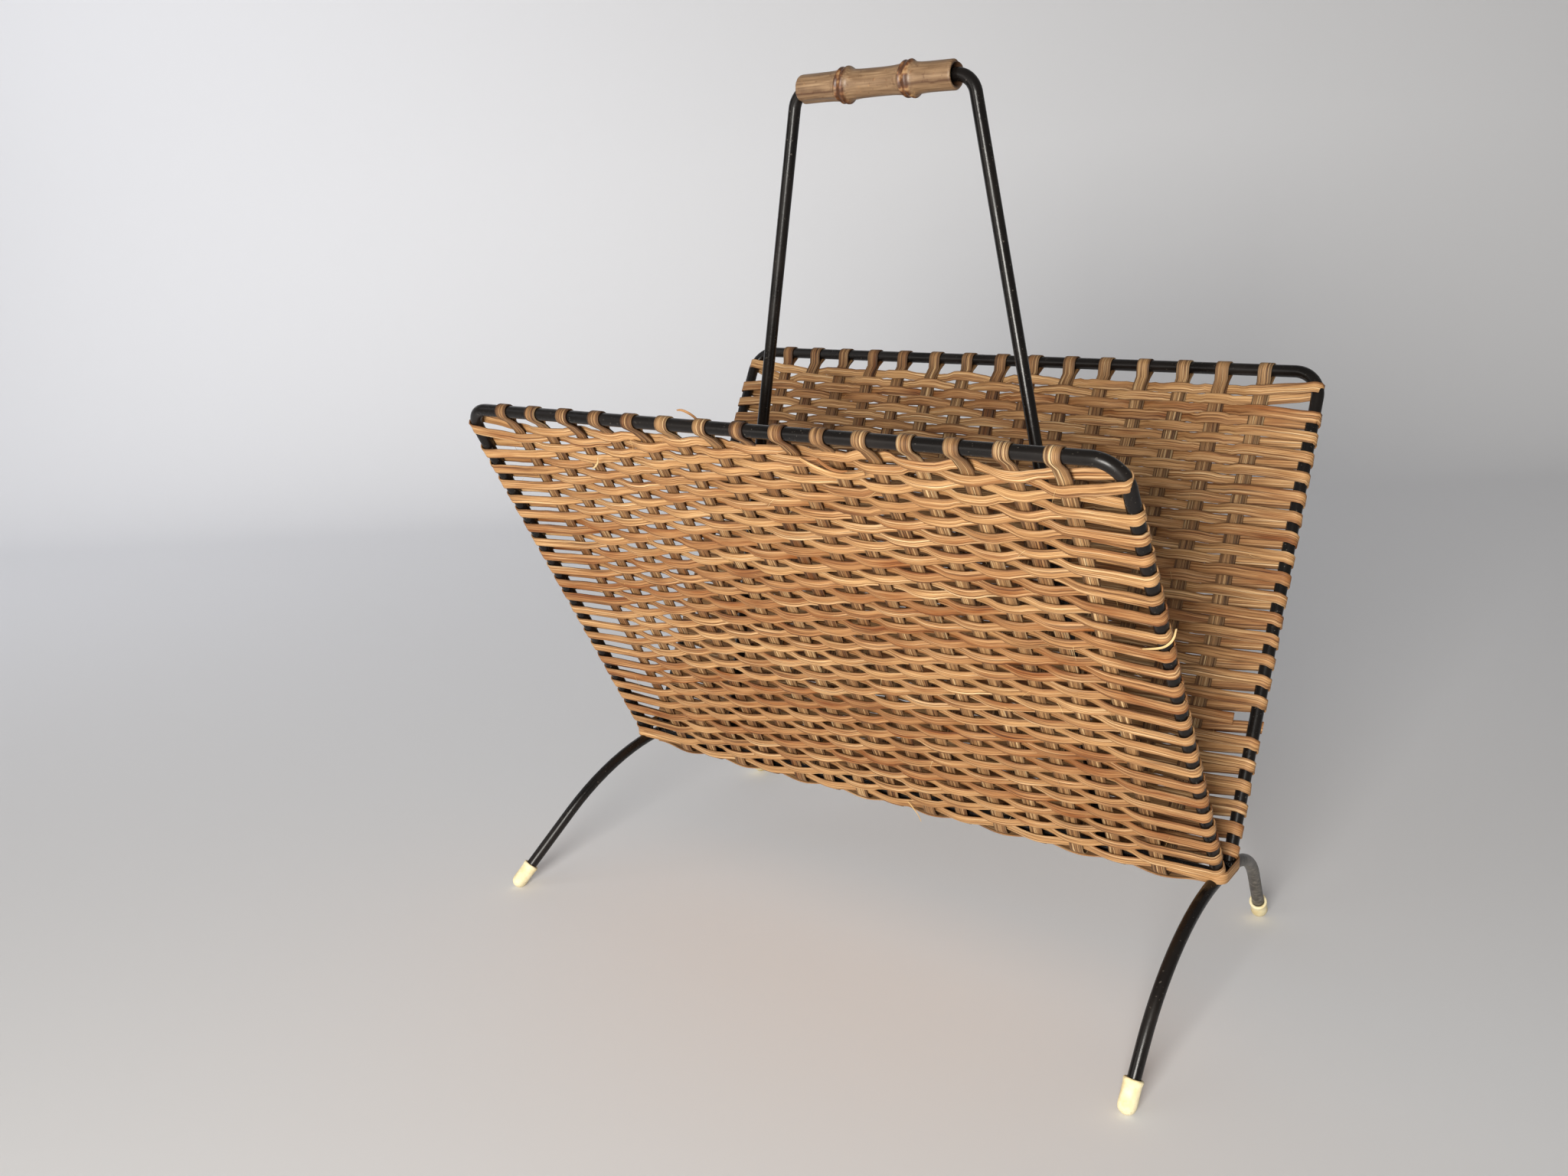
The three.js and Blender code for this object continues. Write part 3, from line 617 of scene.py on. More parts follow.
# Bamboo skin: straw brown with fibres along it, darker scorched rings at the nodes, small brown
# flecks, a dark line along the front of each end length that is painted shade standing for a groove,
# and a thin satin varnish. The bore is painted dark, as shade inside the hollow.
def bamboo_material():
    fibre_width = 0.9 * MM
    fibre_length = 22 * MM
    fibre_depth = 0.1 * MM
    fleck = 2.2 * MM
    cloud = 9 * MM
    scar = 3.5 * MM
    ragged_edge = 3 * MM
    scorch_half = 2.6 * MM
    scorch_fade = 3.6 * MM
    line_drop = 2 * MM
    line_half = 1.3 * MM
    line_wander = 2 * MM
    aged_share = 0.45
    fleck_share = 0.5
    scorch_share = 0.9
    line_start = max(NODE_PLACES) * MM + line_half
    skin_tones = [(0.3, "#573F29"), (0.45, "#7A5F45"), (0.6, "#907456"), (0.75, "#B09473")]
    aged_tones = [(0.3, "#6E543C"), (0.7, "#93775A")]
    scorch_tones = [(0.45, "#4A2A17"), (0.57, "#74492B"), (0.68, "#A5825A")]
    material, tree, shader = new_material("varnished_bamboo")
    place = add_node(tree, "ShaderNodeTexCoord").outputs["Object"]
    centre = (-rail_middle.x * MM, 0, -HANDLE_TOP_HEIGHT * MM)
    centred = add_node(tree, "ShaderNodeMapping", {"Vector": place, "Location": centre})
    parts = add_node(tree, "ShaderNodeSeparateXYZ", {"Vector": centred})
    stretch = (1 / fibre_length, 1 / fibre_width, 1 / fibre_width)
    drawn = add_node(tree, "ShaderNodeMapping", {"Vector": centred, "Scale": stretch})
    fibres = add_node(tree, "ShaderNodeTexNoise", {"Vector": drawn, "Scale": 1.0, "Detail": 3.0})
    clouds = add_node(tree, "ShaderNodeTexNoise", {"Vector": centred, "Scale": 1 / cloud, "Detail": 3.0})
    flecks = add_node(tree, "ShaderNodeTexNoise", {"Vector": centred, "Scale": 1 / fleck, "Detail": 2.0})
    skin = add_node(tree, "ShaderNodeValToRGB", {"Fac": fibres}, skin_tones)
    aged = add_node(tree, "ShaderNodeValToRGB", {"Fac": clouds}, aged_tones)
    body = add_node(tree, "ShaderNodeMix", {0: aged_share, 6: skin, 7: aged}, data_type="RGBA")
    scorch = None
    for node_place in NODE_PLACES:
        away = add_node(
            tree, "ShaderNodeMath", {0: parts.outputs["X"], 1: node_place * MM}, operation="SUBTRACT"
        )
        ragged = add_node(
            tree, "ShaderNodeMath", {0: clouds, 1: ragged_edge, 2: away}, operation="MULTIPLY_ADD"
        )
        shifted = add_node(tree, "ShaderNodeMath", {0: ragged, 1: ragged_edge / 2}, operation="SUBTRACT")
        distance = add_node(tree, "ShaderNodeMath", {0: shifted}, operation="ABSOLUTE")
        fading = {
            "Value": distance,
            "From Min": scorch_half,
            "From Max": scorch_fade,
            "To Min": 1.0,
            "To Max": 0.0,
        }
        band = add_node(tree, "ShaderNodeMapRange", fading)
        if scorch is None:
            scorch = band
        else:
            scorch = add_node(tree, "ShaderNodeMath", {0: scorch, 1: band}, operation="MAXIMUM")
    spots = add_node(tree, "ShaderNodeMapRange", {"Value": flecks, "From Min": 0.6, "From Max": 0.72})
    marked = add_node(tree, "ShaderNodeMath", {0: spots, 1: fleck_share}, operation="MULTIPLY")
    ring = add_node(
        tree,
        "ShaderNodeMath",
        {0: scorch, 1: scorch_share, 2: marked},
        operation="MULTIPLY_ADD",
        use_clamp=True,
    )
    scars = add_node(tree, "ShaderNodeTexNoise", {"Vector": centred, "Scale": 1 / scar, "Detail": 1.0})
    scorched = add_node(tree, "ShaderNodeValToRGB", {"Fac": scars}, scorch_tones)
    ringed = add_node(tree, "ShaderNodeMix", {0: ring, 6: body, 7: scorched}, data_type="RGBA")
    # Painted shade: a dark line along the front of each end length stands for the shade in a groove.
    wander = add_node(
        tree, "ShaderNodeMath", {0: clouds, 1: line_wander, 2: parts.outputs["Z"]}, operation="MULTIPLY_ADD"
    )
    lifted = add_node(tree, "ShaderNodeMath", {0: wander, 1: line_drop}, operation="ADD")
    off_line = add_node(tree, "ShaderNodeMath", {0: lifted}, operation="ABSOLUTE")
    line = add_node(
        tree,
        "ShaderNodeMapRange",
        {"Value": off_line, "From Max": line_half, "To Min": 0.85, "To Max": 0.0},
    )
    out_from_middle = add_node(tree, "ShaderNodeMath", {0: parts.outputs["X"]}, operation="ABSOLUTE")
    outer = add_node(tree, "ShaderNodeMath", {0: out_from_middle, 1: line_start}, operation="GREATER_THAN")
    front = add_node(tree, "ShaderNodeMath", {0: parts.outputs["Y"], 1: 0.0}, operation="LESS_THAN")
    outer_front = add_node(tree, "ShaderNodeMath", {0: outer, 1: front}, operation="MULTIPLY")
    brown = add_node(tree, "ShaderNodeMath", {0: line, 1: outer_front}, operation="MULTIPLY")
    lined = add_node(tree, "ShaderNodeMix", {0: brown, 6: ringed, 7: linear("#4A2D1A")}, data_type="RGBA")
    # Painted shade: the bore is drawn dark, as the shade inside the hollow.
    inside = add_node(tree, "ShaderNodeAttribute", attribute_name="bore").outputs["Fac"]
    colour = add_node(tree, "ShaderNodeMix", {0: inside, 6: lined, 7: linear("#4A3322")}, data_type="RGBA")
    rough = add_node(tree, "ShaderNodeMapRange", {"Value": fibres, "To Min": 0.34, "To Max": 0.55})
    bump = add_node(tree, "ShaderNodeBump", {"Height": fibres, "Strength": 0.5, "Distance": fibre_depth})
    set_inputs(shader, {"Base Color": colour, "Roughness": rough, "Normal": bump, "IOR": 1.5})
    return material


mesh = grip_mesh()
mesh.materials.append(bamboo_material())
place_piece("bamboo_handgrip", mesh, "bamboo", "bamboo_grip", body="grip")

# The stakes
# Fifteen strips of flat cane, each doubled: it hooks over both top rods and passes under the
# rail, so that every stake shows two layers that have crept a little apart.
STAKE_WIDTH = 7.8
LAYER_THICKNESS = 0.8
LAYER_OFFSET = 0.55
STAKE_COUNT = 15
LAST_STAKE_INSET = 30.6
LAST_STAKE = HOOP_TOP_LENGTH / 2 - LAST_STAKE_INSET
STAKE_PITCH = 2 * LAST_STAKE / (STAKE_COUNT - 1)
LOOP_SPLIT = 7.6
LAYER_CREEP = 0.45
RUN_STEP = 7
TOP_BOW = 4.2
FRONT_BELLY = 4.5
REAR_BELLY = -0.5
BOW_START = 3
BOW_END = 17
FOLD_SLACK = 1.1
SLACK_HEIGHT = 20
FOLD_STEP = math.radians(12)
WRAP_GAP = 0.1
LOOP_STEPS = 14
SIDE_ROD = (HOOP_TOP_LENGTH + HOOP_FOOT_LENGTH) / 4


def stake_path():
    """One strip, from under the rail up the rear panel, back down inside it and the same in front."""
    loop_radius = ROD_RADIUS + WRAP_GAP + LAYER_THICKNESS / 2
    split = math.atan2(-LOOP_SPLIT, LAYER_OFFSET)
    split += math.acos(loop_radius / math.hypot(LOOP_SPLIT, LAYER_OFFSET))
    steps = round((PANEL_LENGTH - LOOP_SPLIT) / RUN_STEP)
    heights = [(PANEL_LENGTH - LOOP_SPLIT) * i / steps for i in range(steps + 1)]

    def slack(up):
        return FOLD_SLACK * max(0, 1 - up / SLACK_HEIGHT) ** 2

    def side_path(way):
        path = []
        for up in heights:
            path.append(beside_panel(LAYER_OFFSET + slack(up), up, way) + along * LAYER_CREEP)
        for i in range(LOOP_STEPS + 1):
            turn = split + (math.pi - 2 * split) * i / LOOP_STEPS
            out, past_rod = loop_radius * math.cos(turn), loop_radius * math.sin(turn)
            point = beside_panel(out, PANEL_LENGTH + past_rod, way)
            path.append(point + along * LAYER_CREEP * (1 - 2 * i / LOOP_STEPS))
        for up in heights[::-1]:
            path.append(beside_panel(slack(up) - LAYER_OFFSET, up, way) - along * LAYER_CREEP)
        return path

    under = Vector((0, 0, CREST_HEIGHT))
    start, end = -PANEL_LEAN, PANEL_LEAN - math.pi
    fold = FOLD_RADIUS + FOLD_SLACK
    inner_fold = arc(under, across, high, fold - LAYER_OFFSET, start, end, FOLD_STEP)
    outer_fold = arc(under, across, high, fold + LAYER_OFFSET, end, start, FOLD_STEP)
    inner_fold = [point - along * LAYER_CREEP for point in inner_fold[1:-1]]
    outer_fold = [point + along * LAYER_CREEP for point in outer_fold[1:-1]]
    return side_path(1) + inner_fold + side_path(-1)[::-1] + outer_fold


# Flat cane, split from the core of the palm: long pale and brown fibres and dark pores along each
# strip, strips that differ in tone, and hardly any gloss. The palest fibres are drawn brighter than
# the cane, partly as painted sheen, and each strip darkens towards its edges as painted shade where
# the strips meet. The pores are drawn about twice as wide as real ones, so that they show.
def cane_material(name, fibre_and_sheen_tones, blotch_tone, edge_shade_tone, fibre_width, edge_shade_share, seed):
    fibre_length = 70
    pore_width = 0.55
    blotch_length = 38
    blotch_width = 5
    unshaded_half = 1.9
    shaded_half = 3.3
    fibre_depth = 0.35 * MM
    apart_by_tone = 97.0
    tone_share = 0.55
    blotch_share = 0.7
    # The palest fibre stop is partly painted sheen, brighter than the cane's own fibres.
    fibre_and_sheen_stops = list(zip((0.34, 0.44, 0.55, 0.66), fibre_and_sheen_tones))
    material, tree, shader = new_material(name)
    run = add_node(tree, "ShaderNodeAttribute", attribute_name="strip_along").outputs["Fac"]
    side = add_node(tree, "ShaderNodeAttribute", attribute_name="strip_across").outputs["Fac"]
    tone = add_node(tree, "ShaderNodeAttribute", attribute_name="strip_tone").outputs["Fac"]
    apart = add_node(
        tree, "ShaderNodeMath", {0: tone, 1: apart_by_tone, 2: float(seed)}, operation="MULTIPLY_ADD"
    )
    where = add_node(tree, "ShaderNodeCombineXYZ", {"X": run, "Y": side, "Z": apart})
    fine = add_node(
        tree, "ShaderNodeMapping", {"Vector": where, "Scale": (1 / fibre_length, 1 / fibre_width, 1.0)}
    )
    broad = add_node(
        tree, "ShaderNodeMapping", {"Vector": where, "Scale": (1 / blotch_length, 1 / blotch_width, 1.0)}
    )
    fibres = add_node(
        tree, "ShaderNodeTexNoise", {"Vector": fine, "Scale": 1.0, "Detail": 5.0, "Roughness": 0.72}
    )
    blotches = add_node(tree, "ShaderNodeTexNoise", {"Vector": broad, "Scale": 1.0, "Detail": 3.0})
    pale = add_node(tree, "ShaderNodeValToRGB", {"Fac": fibres}, fibre_and_sheen_stops)
    narrow = add_node(
        tree, "ShaderNodeMapping", {"Vector": where, "Scale": (1 / fibre_length, 1 / pore_width, 1.0)}
    )
    pores = add_node(tree, "ShaderNodeTexNoise", {"Vector": narrow, "Scale": 1.0, "Detail": 1.0})
    lines = add_node(
        tree, "ShaderNodeMapRange", {"Value": pores, "From Min": 0.56, "From Max": 0.66, "To Max": 0.75}
    )
    straw = add_node(
        tree, "ShaderNodeMix", {0: lines, 6: pale, 7: linear(fibre_and_sheen_tones[0])}, data_type="RGBA"
    )
    darker = add_node(tree, "ShaderNodeMapRange", {"Value": blotches, "From Min": 0.45, "From Max": 0.8})
    by_tone = add_node(tree, "ShaderNodeMath", {0: tone, 1: tone_share}, operation="MULTIPLY")
    brown = add_node(
        tree,
        "ShaderNodeMath",
        {0: darker, 1: blotch_share, 2: by_tone},
        operation="MULTIPLY_ADD",
        use_clamp=True,
    )
    toned = add_node(
        tree,
        "ShaderNodeMix",
        {0: brown, 6: straw, 7: linear(blotch_tone)},
        data_type="RGBA",
        blend_type="MULTIPLY",
    )
    # Painted shade: each strip darkens towards its edges, where it meets its neighbours.
    from_middle = add_node(tree, "ShaderNodeMath", {0: side}, operation="ABSOLUTE")
    edge = add_node(
        tree,
        "ShaderNodeMapRange",
        {"Value": from_middle, "From Min": unshaded_half, "From Max": shaded_half, "To Max": edge_shade_share},
    )
    colour = add_node(tree, "ShaderNodeMix", {0: edge, 6: toned, 7: linear(edge_shade_tone)}, data_type="RGBA")
    rough = add_node(tree, "ShaderNodeMapRange", {"Value": fibres, "To Min": 0.5, "To Max": 0.78})
    bump = add_node(tree, "ShaderNodeBump", {"Height": fibres, "Strength": 0.9, "Distance": fibre_depth})
    set_inputs(shader, {"Base Color": colour, "Roughness": rough, "Normal": bump, "IOR": 1.45})
    return material


STRIP_SIDES = 14
FACE_POWER = 0.2
EDGE_POWER = 0.35


def strip_section(tree, given):
    """A strip's section: a circle squared to a flat with round edges. It carries its place across."""
    ring = add_node(tree, "GeometryNodeCurvePrimitiveCircle", {"Resolution": STRIP_SIDES, "Radius": 1.0})
    place = add_node(tree, "GeometryNodeInputPosition")
    size = add_node(tree, "ShaderNodeVectorMath", {0: place}, operation="ABSOLUTE")
    way = add_node(tree, "ShaderNodeVectorMath", {0: place}, operation="SIGN")
    parts = add_node(tree, "ShaderNodeSeparateXYZ", {"Vector": size})
    flat = add_node(tree, "ShaderNodeMath", {0: parts.outputs["X"], 1: FACE_POWER}, operation="POWER")
    wide = add_node(tree, "ShaderNodeMath", {0: parts.outputs["Y"], 1: EDGE_POWER}, operation="POWER")
    squared = add_node(tree, "ShaderNodeCombineXYZ", {"X": flat, "Y": wide})
    shape = add_node(tree, "ShaderNodeVectorMath", {0: squared, 1: way}, operation="MULTIPLY")
    full_size = add_node(tree, "ShaderNodeCombineXYZ", {"X": given["Thickness"], "Y": given["Width"]})
    half_size = add_node(tree, "ShaderNodeVectorMath", {0: full_size, "Scale": 0.5}, operation="SCALE")
    sized = add_node(tree, "ShaderNodeVectorMath", {0: shape, 1: half_size}, operation="MULTIPLY")
    section = add_node(tree, "GeometryNodeSetPosition", {"Geometry": ring, "Position": sized})
    sized_place = add_node(tree, "GeometryNodeInputPosition")
    sized_parts = add_node(tree, "ShaderNodeSeparateXYZ", {"Vector": sized_place})
    marks = {"Geometry": section, "Name": "strip_across", "Value": sized_parts.outputs["Y"]}
    return add_node(tree, "GeometryNodeStoreNamedAttribute", marks)


def inward_bow(tree, given, up, x, belly):
    """How far the cane lies inside the plane of a hoop: it hangs on the top rod's inner side and dishes."""
    share = add_node(tree, "ShaderNodeMath", {0: up, 1: given["TopUp"]}, operation="DIVIDE")
    half_turn = add_node(tree, "ShaderNodeMath", {0: share, 1: math.pi}, operation="MULTIPLY")
    dish = add_node(tree, "ShaderNodeMath", {0: half_turn}, operation="SINE")
    dished = add_node(tree, "ShaderNodeMath", {0: dish, 1: belly}, operation="MULTIPLY")
    bow = add_node(
        tree, "ShaderNodeMath", {0: share, 1: given["TopBow"], 2: dished}, operation="MULTIPLY_ADD"
    )
    below_top = add_node(tree, "ShaderNodeMath", {0: given["TopUp"], 1: up}, operation="SUBTRACT")
    ends = {"Value": below_top, "From Min": BOW_START, "From Max": BOW_END}
    free = add_node(tree, "ShaderNodeMapRange", ends, interpolation_type="SMOOTHSTEP")
    sideways = add_node(tree, "ShaderNodeMath", {0: x, 1: given["SideRod"]}, operation="DIVIDE")
    far = add_node(tree, "ShaderNodeMath", {0: sideways, 1: 4.0}, operation="POWER")
    near_middle = add_node(tree, "ShaderNodeMath", {0: 1.0, 1: far}, operation="SUBTRACT", use_clamp=True)
    freed = add_node(tree, "ShaderNodeMath", {0: bow, 1: free}, operation="MULTIPLY")
    return add_node(tree, "ShaderNodeMath", {0: freed, 1: near_middle}, operation="MULTIPLY")


def marked_strips(tree, curve, index, seed):
    """Gives each strip its length so far and its own tone, as attributes."""
    length = add_node(tree, "GeometryNodeSplineParameter").outputs["Length"]
    tone = add_node(tree, "FunctionNodeRandomValue", {2: 0.0, 3: 1.0, "ID": index, "Seed": seed})
    for name, value in (("strip_along", length), ("strip_tone", tone)):
        marks = {"Geometry": curve, "Name": name, "Value": value}
        curve = add_node(tree, "GeometryNodeStoreNamedAttribute", marks)
    return curve


STAKE_SWAY = 4.0
SWAY_APART = 7.3
SWAY_RATE = 0.012


def stake_tree():
    """Repeats a doubled strip along the basket, each copy bowed a little its own way, and sweeps it."""
    lengths = (
        "Pitch", "Width", "Thickness", "Sway", "TopUp", "TopBow", "FrontBelly", "RearBelly", "SideRod",
        "Middle",
    )
    sizes = dict.fromkeys(lengths, "Float")
    tree, given = new_tree("doubled_stakes", Count="Int", Seed="Int", Material="Material", **sizes)
    path = add_node(tree, "GeometryNodeMeshToCurve", {"Mesh": given["Geometry"]})
    step = add_node(tree, "ShaderNodeCombineXYZ", {"X": given["Pitch"]})
    row = add_node(tree, "GeometryNodeMeshLine", {"Count": given["Count"], "Offset": step})
    copies = add_node(tree, "GeometryNodeInstanceOnPoints", {"Points": row, "Instance": path})
    strips = add_node(tree, "GeometryNodeRealizeInstances", {"Geometry": copies})
    count = add_node(tree, "GeometryNodeInputIndex")
    index = add_node(tree, "GeometryNodeFieldOnDomain", {0: count}, domain="CURVE", data_type="INT")
    place = add_node(tree, "GeometryNodeInputPosition")
    parts = add_node(tree, "ShaderNodeSeparateXYZ", {"Vector": place})
    own = add_node(
        tree, "ShaderNodeMath", {0: index, 1: SWAY_APART, 2: given["Seed"]}, operation="MULTIPLY_ADD"
    )
    where = add_node(
        tree, "ShaderNodeCombineXYZ", {"X": own, "Y": parts.outputs["Y"], "Z": parts.outputs["Z"]}
    )
    wave = add_node(
        tree, "ShaderNodeVectorMath", {0: where, 1: (1.0, SWAY_RATE, SWAY_RATE)}, operation="MULTIPLY"
    )
    bowed = add_node(tree, "ShaderNodeTexNoise", {"Vector": wave, "Scale": 1.0, "Detail": 1.0})
    centred = add_node(tree, "ShaderNodeMath", {0: bowed, 1: 0.5}, operation="SUBTRACT")
    shift = add_node(tree, "ShaderNodeMath", {0: centred, 1: given["Sway"]}, operation="MULTIPLY")
    side = add_node(tree, "ShaderNodeMath", {0: parts.outputs["Y"]}, operation="SIGN")
    outward = add_node(tree, "ShaderNodeMath", {0: parts.outputs["Y"]}, operation="ABSOLUTE")
    above = add_node(tree, "ShaderNodeMath", {0: parts.outputs["Z"], 1: CREST_HEIGHT}, operation="SUBTRACT")
    risen = add_node(tree, "ShaderNodeMath", {0: above, 1: math.cos(PANEL_LEAN)}, operation="MULTIPLY")
    up = add_node(
        tree, "ShaderNodeMath", {0: outward, 1: math.sin(PANEL_LEAN), 2: risen}, operation="MULTIPLY_ADD"
    )
    along_basket = add_node(
        tree, "ShaderNodeMath", {0: parts.outputs["X"], 1: given["Middle"]}, operation="SUBTRACT"
    )
    bellies = {"From Min": -1.0, "To Min": given["FrontBelly"], "To Max": given["RearBelly"]}
    belly = add_node(tree, "ShaderNodeMapRange", {"Value": side, **bellies})
    bow = inward_bow(tree, given, up, along_basket, belly)
    inward = add_node(tree, "ShaderNodeMath", {0: side, 1: -math.cos(PANEL_LEAN)}, operation="MULTIPLY")
    shift_y = add_node(tree, "ShaderNodeMath", {0: inward, 1: bow}, operation="MULTIPLY")
    shift_z = add_node(tree, "ShaderNodeMath", {0: bow, 1: math.sin(PANEL_LEAN)}, operation="MULTIPLY")
    offset = add_node(tree, "ShaderNodeCombineXYZ", {"X": shift, "Y": shift_y, "Z": shift_z})
    bent = add_node(tree, "GeometryNodeSetPosition", {"Geometry": strips, "Offset": offset})
    turned = add_node(tree, "GeometryNodeSetCurveNormal", {"Curve": bent, "Normal": (1, 0, 0)}, mode="FREE")
    marked = marked_strips(tree, turned, index, given["Seed"])
    section = strip_section(tree, given)
    upright = add_node(
        tree, "GeometryNodeTransform", {"Geometry": section, "Rotation": (0, 0, math.pi / 2)}
    )
    swept = add_node(
        tree, "GeometryNodeCurveToMesh", {"Curve": marked, "Profile Curve": upright, "Fill Caps": True}
    )
    end_tree(tree, swept, given["Material"])
    return tree


# The stake cane's tones are darker than the weavers', as painted shade: the stakes show mostly in the shaded
# gaps between the rows.
stake_cane = cane_material(
    "stake_flat_cane", ("#3C2413", "#83603C", "#B38C5E", "#ECD2A2"), "#A07C54", "#3A2616", 1.2, 0.5, 11
)
stake_sizes = {
    "Count": STAKE_COUNT, "Pitch": STAKE_PITCH, "Width": STAKE_WIDTH, "Thickness": LAYER_THICKNESS,
    "Sway": STAKE_SWAY, "TopUp": PANEL_LENGTH, "TopBow": TOP_BOW, "FrontBelly": FRONT_BELLY,
    "RearBelly": REAR_BELLY, "SideRod": SIDE_ROD, "Middle": LAST_STAKE,
    "Seed": 3, "Material": stake_cane,
}
mesh = grow(path_object("stake", [stake_path()]), stake_tree(), **stake_sizes)
stake_nodes = [f"stake_{i + 1:02d}" for i in range(STAKE_COUNT)]
first_stake = Matrix.Translation((-LAST_STAKE, 0, 0))
place_piece("doubled_cane_stakes", mesh, "stake_cane", *stake_nodes, turned=first_stake)

# The woven panels
# Wetted flat cane is woven over and under the stakes. A weaver goes along outside, round the side
# rod, and back along inside on the next row, so that each turn grips the rod.
WEAVE_LOW = 5
WEAVE_HIGH = PANEL_LENGTH - 11
ROW_COUNT = 46
ROW_PITCH = (WEAVE_HIGH - WEAVE_LOW) / ROW_COUNT
FRONT_WEAVER_WIDTH = 6.4
REAR_WEAVER_WIDTH = 6.6
WEAVER_THICKNESS = 0.85
CROSSING_SHARE = 0.88
SWING = 2.3
LOWEST_TURN = 14
TURN_SLANT = 2
TOP_TURN_LIFT = 6
FLAT_TOP = 1.25
BREAK_INSET = 9
BREAK_OUT = 1.5
WEAVER_TWIST = 0.4
WEAVER_WOBBLE = 0.7
SLOW_SHARE = 3.0
SLACK_START = 0.8
CORNER_START = 0.96
LOOSEST = 2.4
SPAN_STEPS = 8
ARM_STEPS = 6
TURN_STEPS = 8


def weaver_path():
    """Two rows of weaver as one loop round both side rods, starting behind the left rod."""
    turn_radius = ROD_RADIUS + WRAP_GAP + WEAVER_THICKNESS / 2
    arm = Vector((SIDE_ROD - LAST_STAKE, turn_radius - SWING))
    lean = math.atan2(arm.y, arm.x)
    outer = []
    spans = (STAKE_COUNT - 1) // 2
    for i in range(spans * SPAN_STEPS + 1):
        x = LAST_STAKE * i / (spans * SPAN_STEPS)
        wave = math.cos(math.pi * (LAST_STAKE - x) / STAKE_PITCH)
        swing = SWING * (wave * FLAT_TOP + wave**3 * (1 - FLAT_TOP))
        outer.append(Vector((x, swing, -ROW_PITCH / 2)))
    for i in range(1, ARM_STEPS):
        share = i / ARM_STEPS
        low = -ROW_PITCH / 2 + (ROW_PITCH - TURN_SLANT) / 2 * share
        outer.append(Vector((LAST_STAKE + arm.x * share, SWING + arm.y * share, low)))
    for i in range(TURN_STEPS + 1):
        turn = (math.pi / 2 + lean) * (1 - i / TURN_STEPS)
        height = -TURN_SLANT / 2 * (1 - i / TURN_STEPS)
        outer.append(
            Vector((SIDE_ROD + turn_radius * math.cos(turn), turn_radius * math.sin(turn), height))
        )
    inner = [Vector((p.x, -p.y, -p.z)) for p in outer[-2::-1]]
    right = outer + inner
    left = [Vector((-p.x, p.y, p.z)) for p in right]
    middle = len(left) // 2
    return left[middle::-1] + right[1:] + left[-2 : middle - 1 : -1]


# Waves per millimetre along, out and up, of the slow waves, the quick ones and the twists
SLOW_WAVES = (0.011, 0.3, 0.008)
QUICK_WAVES = (0.05, 0.5, 0.6)
TWIST_WAVES = (0.035, 0.4, 0.9)


